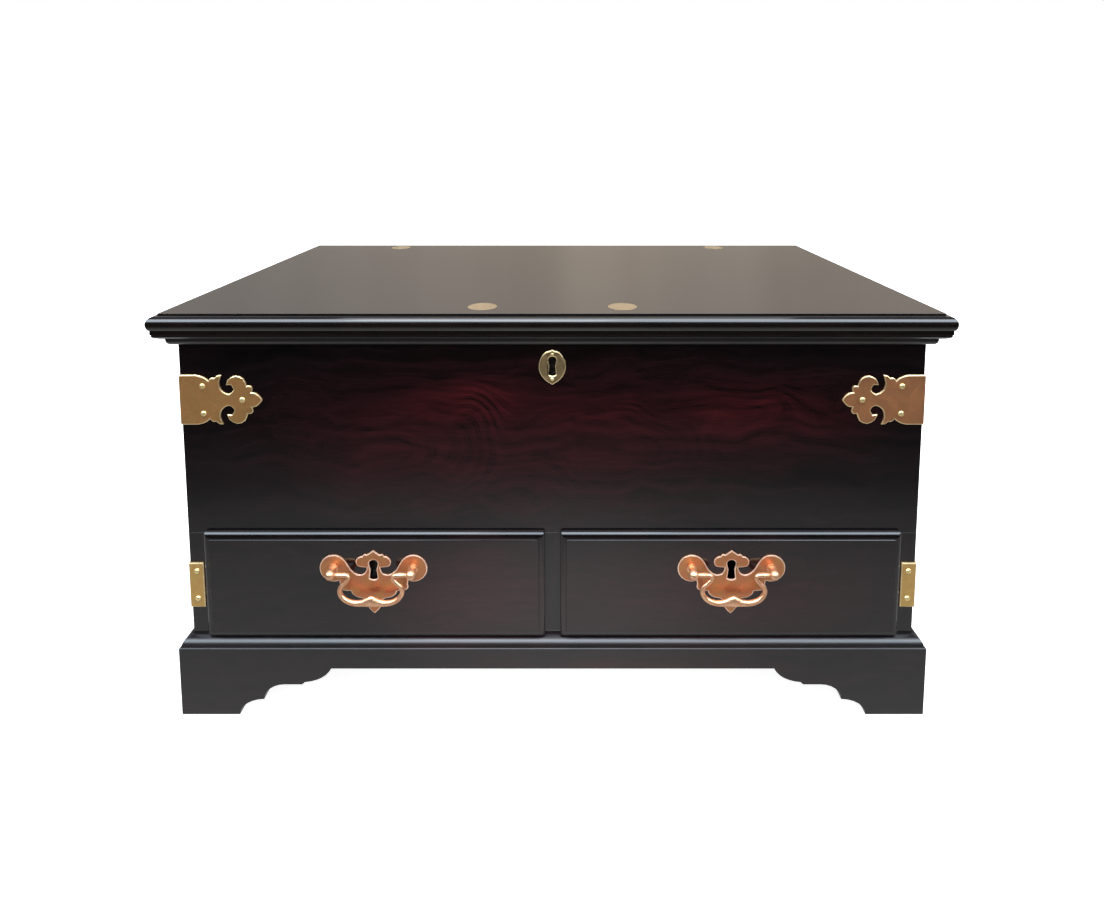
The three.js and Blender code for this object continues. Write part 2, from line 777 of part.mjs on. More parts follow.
function makeHinge(name, middle) {
  const half = hingeLength / 2;
  const knuckle = (hingeLength * knuckleShare) / 2;
  const boreHalf = half + overrun;
  const bore = rod(pinRadius + fitGap, middle - boreHalf, middle + boreHalf, pinY, bodyTop, barrelSegments);
  const clear = barrelRadius + fitGap;

  const lidPlate = block(
    [middle - half, middle + half],
    [pinY - lidLeafReach, pinY],
    [bodyTop, bodyTop + leafThickness],
  );
  const lidKnuckle = rod(barrelRadius, middle - knuckle, middle + knuckle, pinY, bodyTop, barrelSegments);
  const sideRoom = [-1, 1].map((side) => {
    const span = side > 0 ? [knuckle - fitGap, half + overrun] : [-half - overrun, fitGap - knuckle];
    const across = span.map((x) => middle + x);
    return block(across, [pinY - clear, pinY + clear], [bodyTop - clear, bodyTop + clear]);
  });
  const lidLeaf = cut(join(lidPlate, lidKnuckle), ...sideRoom, bore);
  place(lid, `hinge_${name}_lid_leaf`, lidLeaf, "hingeBrass");

  const casePlate = block(
    [middle - half, middle + half],
    [bodyDepth - leafThickness, bodyDepth],
    [bodyTop - caseLeafReach, bodyTop],
  );
  const barrel = rod(barrelRadius, middle - half, middle + half, pinY, bodyTop, barrelSegments);
  const web = block(
    [middle - half, middle + half],
    [bodyDepth - leafThickness, pinY],
    [bodyTop - barrelRadius, bodyTop],
  );
  const middleRoom = block(
    [middle - knuckle - fitGap, middle + knuckle + fitGap],
    [pinY - clear, pinY + clear],
    [bodyTop - clear, bodyTop + clear],
  );
  const caseLeaf = cut(join(casePlate, barrel, web), middleRoom, bore);
  place(chest, `hinge_${name}_case_leaf`, caseLeaf, "hingeBrass");

  const pin = rod(pinRadius, middle - half, middle + half, pinY, bodyTop, barrelSegments);
  place(chest, `hinge_${name}_pin`, pin, "hingeBrass");
}

// Chest lock: a case let into the front board, a sliding bolt and a keeper with two lugs under the lid

const lockMiddleY = frontThickness - chestLockDepth / 2;
const lugBottom = bodyTop - lugLength;
const prongLow = lugBottom + lugEyeRise + (lugEyeHeight - prongHeight) / 2;
const boltLow = lugBottom - prongClearance - slideGap - chestBoltBar;

function keeperSpan(gap) {
  return [lockMiddleY - lugDepth / 2 - gap, lockMiddleY + lugDepth / 2 + gap];
}

function makeChestLock() {
  const half = chestLockWidth / 2;
  const caseY = [frontThickness - chestLockDepth, frontThickness];
  const body = block([-half, half], caseY, [bodyTop - chestLockHeight, bodyTop]);
  const selvedge = block(
    [-half - selvedgeMargin, half + selvedgeMargin],
    [frontThickness - selvedgeDepth, frontThickness],
    [bodyTop - selvedgeThickness, bodyTop],
  );
  const roomY = [caseY[0] + lockWall, caseY[1] - lockWall];
  const floorZ = boltLow - fitGap;
  const boltRoom = block([lockWall - half, half - lockWall], roomY, [floorZ, bodyTop - selvedgeThickness]);
  const leverRoom = block(
    [-leverRoomWidth / 2, leverRoomWidth / 2],
    roomY,
    [bodyTop - chestLockHeight + lockWall, floorZ + fitGap],
  );
  const lugReach = lugWidth / 2 + lugClearance;
  const slots = [-1, 1].map((side) => {
    const middle = (side * lugSpacing) / 2;
    return block([middle - lugReach, middle + lugReach], roomY, [lugBottom, bodyTop + overrun]);
  });
  const keyhole = keyholeShape(chestKeyholeWidth, chestKeyholeHeight, 0, chestKeyholeZ);
  const keyCut = prism(keyhole, "y", caseY[0] - overrun, lockMiddleY);
  const lockCase = cut(join(body, selvedge), boltRoom, leverRoom, ...slots, keyCut);
  place(chest, "chest_lock_case", lockCase, "lockSteel");

  const boltShape = new THREE.Shape();
  const posts = [-1, 1].map((side) => {
    const tip = (side * lugSpacing) / 2 - lugWidth / 2 - prongClearance;
    return { tip, right: tip - chestBoltProng, left: tip - chestBoltProng - chestBoltPost };
  });
  const barTop = boltLow + chestBoltBar;
  const prongTop = prongLow + prongHeight;
  boltShape.moveTo(posts[0].left, boltLow);
  boltShape.lineTo(posts[1].right, boltLow);
  boltShape.lineTo(posts[1].right, prongLow);
  boltShape.lineTo(posts[1].tip, prongLow);
  boltShape.lineTo(posts[1].tip, prongTop);
  boltShape.lineTo(posts[1].left, prongTop);
  boltShape.lineTo(posts[1].left, barTop);
  boltShape.lineTo(posts[0].right, barTop);
  boltShape.lineTo(posts[0].right, prongLow);
  boltShape.lineTo(posts[0].tip, prongLow);
  boltShape.lineTo(posts[0].tip, prongTop);
  boltShape.lineTo(posts[0].left, prongTop);
  const boltHalf = chestBoltThickness / 2;
  const bolt = prism(boltShape, "y", lockMiddleY - boltHalf, lockMiddleY + boltHalf);
  place(chest, "chest_lock_bolt", bolt, "lockSteel");

  const keeperX = lugSpacing / 2 + keeperMargin;
  const plate = block([-keeperX, keeperX], keeperSpan(0), [bodyTop, bodyTop + keeperThickness]);
  const lugs = [-1, 1].map((side) => {
    const middle = (side * lugSpacing) / 2;
    const across = [middle - lugWidth / 2, middle + lugWidth / 2];
    return block(across, keeperSpan(0), [lugBottom, bodyTop + keeperThickness]);
  });
  const eye = block(
    [-keeperX, keeperX],
    [lockMiddleY - lugEyeDepth / 2, lockMiddleY + lugEyeDepth / 2],
    [lugBottom + lugEyeRise, lugBottom + lugEyeRise + lugEyeHeight],
  );
  place(lid, "chest_lock_keeper", cut(join(plate, ...lugs), eye), "hingeBrass");

  const halfOutline = traced(escutcheonStart, escutcheonShares, 2);
  const sized = scaled(halfOutline, escutcheonWidth / 2, escutcheonHeight / 2, 0, escutcheonZ);
  const outline = symmetrical(sized);
  outline.holes.push(keyhole);
  place(chest, "escutcheon", prism(outline, "y", -escutcheonThickness, 0), "strapBrass");
}

// Corner straps

function fleurPoints(length, height, middleZ) {
  const half = traced(fleurStart, fleurShares, 2);
  const upper = half.map((point) => new THREE.Vector2(point.x * length, point.y * (height / 2)));
  const lower = upper.slice(0, -1).reverse();
  const below = lower.map((point) => new THREE.Vector2(point.x, -point.y));
  return [...upper, ...below].map((point) => new THREE.Vector2(point.x, middleZ + point.y));
}

// Two leaves, on the front and on the side, from outlines in distance from the corner and height.
function strap(side, frontPoints, sidePoints) {
  const outer = halfWidth + strapThickness;
  const onFront = frontPoints.map((point) => {
    const x = point.x > 0 ? halfWidth - point.x : outer;
    return new THREE.Vector2(side * x, point.y);
  });
  const onSide = sidePoints.map((point) => {
    const y = point.x > 0 ? point.x : -strapThickness;
    return new THREE.Vector2(y, point.y);
  });
  const frontLeaf = prism(new THREE.Shape(onFront), "y", -strapThickness, 0);
  const [low, high] = mirrored(side, halfWidth, outer);
  const sideLeaf = prism(new THREE.Shape(onSide), "x", low, high);
  return join(frontLeaf, sideLeaf);
}

function plainLeaf(length, height, middleZ) {
  return [
    new THREE.Vector2(0, middleZ + height / 2),
    new THREE.Vector2(length, middleZ + height / 2),
    new THREE.Vector2(length, middleZ - height / 2),
    new THREE.Vector2(0, middleZ - height / 2),
  ];
}

function makeStraps() {
  const upper = fleurPoints(upperStrapLength, upperStrapHeight, bodyTop - upperStrapDrop);
  const lowerZ = openingBottom + lowerStrapRise;
  const lowerFront = plainLeaf(lowerStrapFront, lowerStrapHeight, lowerZ);
  const lowerSide = plainLeaf(lowerStrapSide, lowerStrapHeight, lowerZ);
  for (const [side, name] of [[-1, "left"], [1, "right"]]) {
    place(chest, `upper_strap_${name}`, strap(side, upper, upper), "strapBrass");
    place(chest, `lower_strap_${name}`, strap(side, lowerFront, lowerSide), "strapBrass");
  }
}

// Drawers, each laid out about the middle of its own opening

const drawerHalf = openingHalfWidth - slideGap;
const drawerLow = openingBottom + fitGap;
const drawerHigh = openingTop - drawerTopGap;
const drawerSideHigh = drawerHigh - drawerSideDrop;
const drawerEnd = backInner - drawerBackGap;
const bottomLow = drawerLow + drawerBottomRise;
const bottomHigh = bottomLow + drawerBottomThickness;
const drawerBoltY = drawerFrontInside - drawerLockDepth / 2;

// The dovetails at one end of a drawer side, as pairs of edges from low to high, each grown by the gap.
function tails(root, tip, low, high, gap) {
  const pitch = (high - low) / tailCount;
  const rows = [];
  for (let i = 0; i < tailCount; i += 1) {
    const middle = low + pitch * i + pitch / 2;
    const narrow = (pitch * tailNarrowShare) / 2 + gap;
    const wide = (pitch * tailWideShare) / 2 + gap;
    rows.push([
      new THREE.Vector2(root, middle - narrow),
      new THREE.Vector2(tip, middle - wide),
      new THREE.Vector2(tip, middle + wide),
      new THREE.Vector2(root, middle + narrow),
    ]);
  }
  return rows;
}

const frontTailTip = drawerFrontInside - tailLength;
const backTailRoot = drawerEnd - drawerSideThickness;

// The sockets for the tails, from before their roots to a place past their tips.
function tailCutters(root, tip, past, low, high, across) {
  const before = root + Math.sign(root - tip) * overrun;
  return tails(root, tip, low, high, fitGap).map(([rootLow, tipLow, tipHigh, rootHigh]) => {
    const shape = new THREE.Shape([
      new THREE.Vector2(before, rootLow.y),
      rootLow,
      tipLow,
      new THREE.Vector2(past, tipLow.y),
      new THREE.Vector2(past, tipHigh.y),
      tipHigh,
      rootHigh,
      new THREE.Vector2(before, rootHigh.y),
    ]);
    return prism(shape, "x", across[0], across[1]);
  });
}

function roundedRectangle(halfX, low, high, inset) {
  const radius = lipCornerRadius;
  const centres = [
    [halfX - inset - radius, high - inset - radius, 0],
    [inset + radius - halfX, high - inset - radius, 1],
    [inset + radius - halfX, low + inset + radius, 2],
    [halfX - inset - radius, low + inset + radius, 3],
  ];
  return centres.flatMap(([x, z, quarter]) => {
    const points = [];
    for (let i = 0; i <= cornerSegments; i += 1) {
      const angle = (Math.PI / 2) * (quarter + i / cornerSegments);
      points.push([x + radius * Math.cos(angle), z + radius * Math.sin(angle)]);
    }
    return points;
  });
}

function makeDrawerFront(group, name) {
  const edge = -lipClearance - lipEdge;
  const ovoloFace = edge - lipOvoloDepth;
  const round = quarterRound([edge, 0], [ovoloFace, lipOvoloWidth], ovoloSegments);
  const levels = [
    [-lipClearance, 0],
    ...round,
    [ovoloFace, lipOvoloWidth + lipFilletWidth],
    [drawerFace, lipOvoloWidth + lipFilletWidth],
  ];
  const lipHalf = openingHalfWidth + lipOverlap;
  const lipLow = openingBottom - lipOverlap;
  const lipHigh = openingTop + lipOverlap;
  const rings = levels.map(([y, inset]) => {
    return roundedRectangle(lipHalf, lipLow, lipHigh, inset).map(([x, z]) => new THREE.Vector3(x, y, z));
  });
  const face = loft(roundedRectangle(lipHalf, lipLow, lipHigh, 0), rings);
  const bodyY = [-lipClearance, drawerFrontInside];
  const body = block([-drawerHalf, drawerHalf], bodyY, [drawerLow, drawerHigh]);

  const endsOf = (side) => mirrored(side, drawerHalf - drawerSideThickness - fitGap, drawerHalf + overrun);
  const sockets = [-1, 1].flatMap((side) => {
    const past = frontTailTip - fitGap;
    return tailCutters(drawerFrontInside, frontTailTip, past, drawerLow, drawerSideHigh, endsOf(side));
  });
  const grooveX = drawerHalf - drawerSideThickness + drawerGrooveDepth + fitGap;
  const groove = block(
    [-grooveX, grooveX],
    [drawerFrontInside - drawerGrooveDepth - fitGap, drawerFrontInside + overrun],
    [bottomLow, bottomHigh + fitGap],
  );
  const lockHalf = drawerLockWidth / 2 + fitGap;
  const lockRecess = block(
    [-lockHalf, lockHalf],
    [drawerFrontInside - drawerLockDepth - fitGap, drawerFrontInside + overrun],
    [drawerHigh - drawerLockHeight - fitGap, drawerHigh + overrun],
  );
  const keyhole = keyholeShape(keyholeWidth, keyholeHeight, 0, postZ - keyholeDrop);
  const keyCut = prism(keyhole, "y", drawerFace - overrun, drawerBoltY);
  const postHoles = [-1, 1].map((side) => {
    const radius = postShankRadius + fitGap;
    const profile = [
      [0, drawerFace - overrun],
      [radius, drawerFace - overrun],
      [radius, drawerFrontInside + overrun],
      [0, drawerFrontInside + overrun],
    ];
    return turned(profile, (side * postSpacing) / 2, postZ, postSegments);
  });
  const front = cut(join(face, body), ...sockets, groove, lockRecess, keyCut, ...postHoles);
  place(group, `${name}_front`, front, "caseWood");
}

function makeDrawerBox(group, name) {
  const frontTails = tails(drawerFrontInside, frontTailTip, drawerLow, drawerSideHigh, 0).flat();
  const backTails = tails(backTailRoot, drawerEnd, bottomHigh + fitGap, drawerSideHigh, 0).flat();
  const outline = new THREE.Shape([
    new THREE.Vector2(drawerFrontInside, drawerLow),
    new THREE.Vector2(drawerEnd, drawerLow),
    new THREE.Vector2(drawerEnd, bottomHigh + fitGap),
    new THREE.Vector2(backTailRoot, bottomHigh + fitGap),
    ...backTails,
    new THREE.Vector2(backTailRoot, drawerSideHigh),
    new THREE.Vector2(drawerFrontInside, drawerSideHigh),
    ...frontTails.reverse(),
  ]);
  const inner = drawerHalf - drawerSideThickness;
  const panel = inner + drawerGrooveDepth;
  for (const [side, end] of [[-1, "left"], [1, "right"]]) {
    const [low, high] = mirrored(side, inner, drawerHalf);
    const across = mirrored(side, inner - overrun, panel + fitGap);
    const grooveY = [frontTailTip - overrun, drawerEnd + overrun];
    const groove = block(across, grooveY, [bottomLow, bottomHigh + fitGap]);
    place(group, `${name}_side_${end}`, cut(prism(outline, "x", low, high), groove), "drawerWood");
  }

  const backZ = [bottomHigh + fitGap, drawerSideHigh];
  const back = block([-drawerHalf, drawerHalf], [backTailRoot, drawerEnd], backZ);
  const backCuts = [-1, 1].flatMap((side) => {
    const across = mirrored(side, inner - fitGap, drawerHalf + overrun);
    const past = drawerEnd + overrun;
    return tailCutters(backTailRoot, drawerEnd, past, bottomHigh + fitGap, drawerSideHigh, across);
  });
  place(group, `${name}_back`, cut(back, ...backCuts), "drawerWood");

  const bottomY = [drawerFrontInside - drawerGrooveDepth, drawerEnd];
  place(group, `${name}_bottom`, block([-panel, panel], bottomY, [bottomLow, bottomHigh]), "drawerWood");
}

function makeDrawerLock(group, name) {
  const half = drawerLockWidth / 2;
  const caseY = [drawerFrontInside - drawerLockDepth, drawerFrontInside];
  const body = block([-half, half], caseY, [drawerHigh - drawerLockHeight, drawerHigh]);
  const boltRoomX = drawerBoltWidth / 2 + fitGap;
  const roomY = [caseY[0] + lockWall, caseY[1] - lockWall];
  const boltTop = drawerHigh - fitGap;
  const boltRoom = block(
    [-boltRoomX, boltRoomX],
    roomY,
    [boltTop - drawerBoltLength - fitGap, drawerHigh + overrun],
  );
  const keyhole = keyholeShape(keyholeWidth, keyholeHeight, 0, postZ - keyholeDrop);
  const keyCut = prism(keyhole, "y", caseY[0] - overrun, drawerBoltY);
  place(group, `${name}_lock_case`, cut(body, boltRoom, keyCut), "lockSteel");

  const boltHalf = drawerBoltWidth / 2;
  const boltY = [drawerBoltY - drawerBoltThickness / 2, drawerBoltY + drawerBoltThickness / 2];
  const bolt = block([-boltHalf, boltHalf], boltY, [boltTop - drawerBoltLength, boltTop]);
  place(group, `${name}_lock_bolt`, bolt, "lockSteel");
}

function makePullPlate(group, name) {
  const half = scaled(traced(crownStart, crownShares, 2), postSpacing, postSpacing, 0, postZ);
  const middle = postSpacing / 2;
  for (let i = 0; i <= roundSegments / 2; i += 1) {
    const share = wingStartShare + ((wingEndShare - wingStartShare) * i * 2) / roundSegments;
    const angle = share * Math.PI;
    const x = middle + roundEndRadius * Math.cos(angle);
    half.push(new THREE.Vector2(x, postZ + roundEndRadius * Math.sin(angle)));
  }
  const leave = half[half.length - 1];
  const start = [leave.x / postSpacing, (leave.y - postZ) / postSpacing];
  const lower = traced(start, skirtShares, 2).slice(1);
  half.push(...scaled(lower, postSpacing, postSpacing, 0, postZ));
  const plate = symmetrical(half);
  plate.holes.push(keyholeShape(keyholeWidth, keyholeHeight, 0, postZ - keyholeDrop));
  for (const side of [-1, 1]) {
    const hole = new THREE.Path();
    hole.absarc((side * postSpacing) / 2, postZ, postShankRadius + fitGap, 0, Math.PI * 2);
    plate.holes.push(hole);
  }
  place(group, `${name}_pull_plate`, prism(plate, "y", plateFace, drawerFace, ovoloSegments), "pullBrass");
}

function makePosts(group, name) {
  const collarFace = plateFace - postCollarThickness;
  const rivetFace = drawerFrontInside + postRivetThickness;
  const neckEnd = bailY + Math.sqrt(postBallRadius ** 2 - postNeckRadius ** 2);
  const ball = [];
  const startAngle = Math.atan2(neckEnd - bailY, postNeckRadius);
  for (let i = 0; i <= ovoloSegments * 2; i += 1) {
    const angle = startAngle - ((startAngle + Math.PI / 2) * i) / (ovoloSegments * 2);
    ball.push([postBallRadius * Math.cos(angle), bailY + postBallRadius * Math.sin(angle)]);
  }
  ball[ball.length - 1][0] = 0;
  const profile = [
    [0, rivetFace],
    [postRivetRadius, rivetFace],
    [postRivetRadius, drawerFrontInside],
    [postShankRadius, drawerFrontInside],
    [postShankRadius, plateFace],
    [postCollarRadius, plateFace],
    [postCollarRadius, collarFace],
    [postNeckRadius, collarFace],
    ...ball,
  ];
  for (const [side, end] of [[-1, "left"], [1, "right"]]) {
    const middle = (side * postSpacing) / 2;
    const post = turned(profile, middle, postZ, postSegments);
    const [low, high] = mirrored(side, middle * side - postBallRadius - overrun, middle * side + pinRadius);
    const bore = rod(bailPinRadius + fitGap, low, high, bailY, postZ, postSegments);
    place(group, `${name}_post_${end}`, cut(post, bore), "pullBrass");
  }
}

// The bail: an oval wire swept along its swan-neck line, thickened to a peak in the middle.
function makeBail(group, name) {
  const stations = bailShares.map(([x, z, half]) => {
    return { x: x * postSpacing, z: z * postSpacing, half: half * postSpacing };
  });
  const wire = stations[stations.length - 1].half;
  stations.push({ x: bailStubShare * postSpacing, z: 0, half: wire });
  stations.push({ x: bailStubShare * postSpacing, z: 0, half: bailPinRadius, pin: true });
  stations.push({ x: bailPinShare * postSpacing, z: 0, half: bailPinRadius, pin: true });
  const left = stations.slice(1).reverse().map((station) => ({ ...station, x: -station.x }));
  const whole = [...left, ...stations];
  const section = [];
  for (let i = 0; i < bailSegments; i += 1) {
    const angle = (Math.PI * 2 * (i + 0.5)) / bailSegments;
    section.push([Math.cos(angle), Math.sin(angle)]);
  }
  const rings = whole.map((station, i) => {
    const before = whole[Math.max(i - 1, 0)];
    const after = whole[Math.min(i + 1, whole.length - 1)];
    const along = new THREE.Vector2(after.x - before.x, after.z - before.z).normalize();
    const swell = (station.half - wire) / (stations[0].half - wire);
    const wireDepth = bailHalfDepth + (bailCentreHalfDepth - bailHalfDepth) * Math.max(swell, 0);
    const depth = station.pin ? bailPinRadius : wireDepth;
    return section.map(([across, out]) => {
      const offset = across * station.half;
      const x = station.x - along.y * offset;
      const z = station.z + along.x * offset;
      return new THREE.Vector3(x, bailY + out * depth, postZ + z);
    });
  });
  place(group, `${name}_bail`, loft(section, rings), "pullBrass");
}

function makeDrawer(name, side) {
  const group = new THREE.Group();
  group.position.x = side * openingMiddleX;
  chest.add(group);
  makeDrawerFront(group, name);
  makeDrawerBox(group, name);
  makeDrawerLock(group, name);
  makePullPlate(group, name);
  makePosts(group, name);
  makeBail(group, name);
}

makeSides();
makeFrontBoard();
makeInsideBoards();
makeBackBoard();
makePlinth();
makeLid();
makeHinge("left", -hingeX);
makeHinge("right", hingeX);
makeChestLock();
makeStraps();
makeDrawer("drawer_left", -1);
makeDrawer("drawer_right", 1);

// The posts reach furthest forward and the lid furthest back, so these two centre the chest.
const frontReach = bailY - postBallRadius;
chest.position.y = -(frontReach + lidBack) / 2;

export default chest;
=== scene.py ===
"""A mule chest of dark polished rosewood with brass mounts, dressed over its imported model.

Run as a script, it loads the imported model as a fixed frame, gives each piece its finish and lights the
stage. Lengths are in metres unless a name says otherwise.
"""

import json
import math

import bmesh
import bpy
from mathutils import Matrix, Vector

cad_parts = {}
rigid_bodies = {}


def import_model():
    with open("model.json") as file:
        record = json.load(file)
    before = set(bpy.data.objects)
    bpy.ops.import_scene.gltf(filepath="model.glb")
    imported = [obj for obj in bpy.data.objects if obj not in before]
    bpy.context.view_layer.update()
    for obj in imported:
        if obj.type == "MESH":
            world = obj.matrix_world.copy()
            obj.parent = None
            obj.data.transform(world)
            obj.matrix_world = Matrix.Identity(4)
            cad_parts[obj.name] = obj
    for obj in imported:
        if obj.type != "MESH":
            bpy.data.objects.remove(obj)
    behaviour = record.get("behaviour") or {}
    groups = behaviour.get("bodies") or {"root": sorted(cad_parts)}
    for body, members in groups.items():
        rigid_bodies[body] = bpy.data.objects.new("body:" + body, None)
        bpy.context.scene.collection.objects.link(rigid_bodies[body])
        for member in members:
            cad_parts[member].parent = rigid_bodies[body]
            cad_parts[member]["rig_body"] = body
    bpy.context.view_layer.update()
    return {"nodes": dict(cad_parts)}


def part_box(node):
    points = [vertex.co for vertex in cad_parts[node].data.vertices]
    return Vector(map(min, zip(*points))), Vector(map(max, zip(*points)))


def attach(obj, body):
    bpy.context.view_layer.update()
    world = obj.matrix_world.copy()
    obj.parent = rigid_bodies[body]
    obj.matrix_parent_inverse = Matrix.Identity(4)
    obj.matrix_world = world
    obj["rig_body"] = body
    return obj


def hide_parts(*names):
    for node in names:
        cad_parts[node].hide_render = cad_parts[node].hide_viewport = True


bl_info = {
    "name": "Mule chest",
    "version": (1, 0, 0),
    "blender": (4, 5, 0),
    "location": "View3D > Sidebar > Mule chest",
    "description": "Finishes for a lidded chest with two drawers and brass mounts",
    "category": "Object",
}

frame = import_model()
MM = 0.001
TO_FRONT, TO_LEFT, TO_RIGHT = (0, -1, 0), (-1, 0, 0), (1, 0, 0)

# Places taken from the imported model
FRONT_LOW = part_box("front_board")[0]
SIDE_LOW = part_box("left_side")[0]
STRAP_LOW, STRAP_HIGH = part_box("upper_strap_left")
LOWER_LOW, LOWER_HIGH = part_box("lower_strap_left")
ESCUTCHEON_LOW, ESCUTCHEON_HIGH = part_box("escutcheon")
PLINTH_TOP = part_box("plinth_front")[1].z
DRAWERS = ("drawer_left", "drawer_right")

GLUE_BLOCK_NODES = tuple(
    f"glue_block_{row}_{end}" for row in ("front", "back") for end in ("left", "right")
)
LID_DISC_NODES = tuple(
    f"lid_disc_{row}_{end}" for row in ("front", "back") for end in ("left", "right")
)
HINGE_NODES = tuple(
    f"hinge_{end}_{piece}"
    for end in ("left", "right")
    for piece in ("lid_leaf", "case_leaf", "pin")
)

# The ovolo on the plinth's top edge: where its foot is, out from the carcase, its size in the
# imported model, and its size as the photograph's broad highlight shows it
OVOLO_FOOT = 12.3 * MM
OVOLO_WIDTH, OVOLO_HEIGHT = 5.8 * MM, 8.6 * MM
FULL_OVOLO_WIDTH, FULL_OVOLO_HEIGHT = 11.5 * MM, 11.4 * MM

# How far the edges of the finer woodwork are rounded over. The arrises are the long outer edges
# of the plinth's face and of the drawers' fields, where the photograph has a bright line.
PLINTH_EDGE, LID_EDGE, MOULDING_EDGE, DRAWER_EDGE = 0.5 * MM, 0.5 * MM, 0.4 * MM, 1.1 * MM
PLINTH_ARRIS, DRAWER_ARRIS = 1.6 * MM, 1.4 * MM
POST_EDGE = 0.4 * MM
LONG_ARRIS = 80 * MM  # an arris is longer than this

# How meshes are joined and shaded
WELD_DISTANCE = 0.002 * MM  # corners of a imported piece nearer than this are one
MERGE_DISTANCE = 0.05 * MM  # the same, once a moulding is redrawn
FLAT_ANGLE = math.radians(1)  # faces that turn less than this are one flat face
WORN_ANGLE = math.radians(25)  # an outer edge that turns more than this is worn round
ARRIS_ANGLE = math.radians(60)  # and an arris turns more than this
FLAT_BREADTH = 5 * MM  # a flat broader than this isn't a facet of a round
LEVEL_COSINE = 0.99996  # faces of one flat turn no more from each other than this
FACING_COSINE = 0.99  # a face that looks one way turns no more from it than this

# The nails of a strap: how far from the corner and how high from the strap's middle, in millimetres
UPPER_NAILS = ((30.2, 19), (30.2, -19), (83, 0))
LOWER_FRONT_NAILS = ((9.7, 20.3), (9.7, -19.5))
LOWER_SIDE_NAILS = (*LOWER_FRONT_NAILS, (34, 20.3), (34, -19.5))

# The escutcheon's two pins: height and radius of the head
ESCUTCHEON_PINS = (
    (ESCUTCHEON_HIGH.z - 6.6 * MM, 3.1 * MM),
    (ESCUTCHEON_LOW.z + 7.6 * MM, 2.7 * MM),
)

# Where the front board's rings swirl, and where the red heart shows: centre, reach, then how many
# rings the swirl has, below zero where they sink, or the amount of red
FRONT_SWIRLS = (
    ((-0.197, FRONT_LOW.y, 0.411), (0.27, 1, 0.135), -8),
    ((0.112, FRONT_LOW.y, 0.411), (0.2, 1, 0.115), -6),
    ((0.285, FRONT_LOW.y, 0.46), (0.13, 1, 0.06), -3),
)
RED_SPOTS = (
    ((0.0, FRONT_LOW.y, 0.42), (0.54, 1, 0.18), 0.4),
    ((-0.09, FRONT_LOW.y, 0.468), (0.12, 1, 0.045), 0.5),
    ((-0.2, FRONT_LOW.y, 0.415), (0.14, 1, 0.08), 0.14),
    ((0.1, FRONT_LOW.y, 0.45), (0.14, 1, 0.05), 0.18),
    ((0.28, FRONT_LOW.y, 0.46), (0.12, 1, 0.05), 0.3),
    ((0.34, FRONT_LOW.y, 0.45), (0.22, 1, 0.09), 0.34),
)
CASE_RED_SPOTS = (
    ((-0.09, FRONT_LOW.y, 0.2), (0.2, 1, 0.12), 0.4),
    ((0.24, FRONT_LOW.y, 0.2), (0.34, 1, 0.12), 0.32),
    ((0.1, FRONT_LOW.y, 0.08), (0.42, 1, 0.05), 0.3),
)


def linear(hex_colour):
    """An sRGB hex colour as the linear values that sockets and colour properties hold."""
    channels = [int(hex_colour[i : i + 2], 16) / 255 for i in (1, 3, 5)]
    return tuple(c / 12.92 if c <= 0.04045 else ((c + 0.055) / 1.055) ** 2.4 for c in channels)


def colour_setting(name, description, hex_colour):
    return bpy.props.FloatVectorProperty(
        name=name,
        description=description,
        subtype="COLOR",
        size=3,
        min=0,
        max=1,
        default=linear(hex_colour),
    )


def length_setting(name, description, millimetres):
    return bpy.props.FloatProperty(
        name=name,
        description=description,
        subtype="DISTANCE",
        unit="LENGTH",
        min=0,
        default=millimetres * MM,
    )


class WoodSettings(bpy.types.PropertyGroup):
    heart_dark: colour_setting("Dark heartwood", "The darkest streaks of the polished wood", "#060404")
    heart_mid: colour_setting("Heartwood", "The polished wood between its streaks", "#190e12")
    heart_red: colour_setting("Red figure", "The red heartwood that shows in the front board", "#5a1a20")
    lid_dark: colour_setting("Lid streaks", "The dark streaks in the lid", "#0f0a09")
    lid_mid: colour_setting("Lid", "The lid between its streaks", "#1e1512")
    inside_dark: colour_setting("Inside streaks", "Grain lines of the waxed inside boards", "#36231a")
    inside_mid: colour_setting("Inside boards", "The waxed boards inside the chest", "#5b4030")
    pine_dark: colour_setting("Drawer lining grain", "Late wood of the pale drawer linings", "#8a6238")
    pine_mid: colour_setting("Drawer lining", "Early wood of the pale drawer linings", "#b6925f")
    pore_length: length_setting("Pore length", "Length of a pore along the grain", 34)
    pore_width: length_setting("Pore width", "Spacing of the pores across the grain", 1.3)
    ring_spacing: length_setting("Ring spacing", "From one growth ring to the next", 38)
    waver_length: length_setting("Waver", "Length of the small wavers in the rings", 90)
    figure_length: length_setting("Figure length", "Length of one slow bend of the rings", 430)
    figure_height: length_setting("Figure height", "Height of one slow bend of the rings", 170)
    edge_wear: length_setting("Softened edge", "How far the boards' edges are rounded over", 0.4)


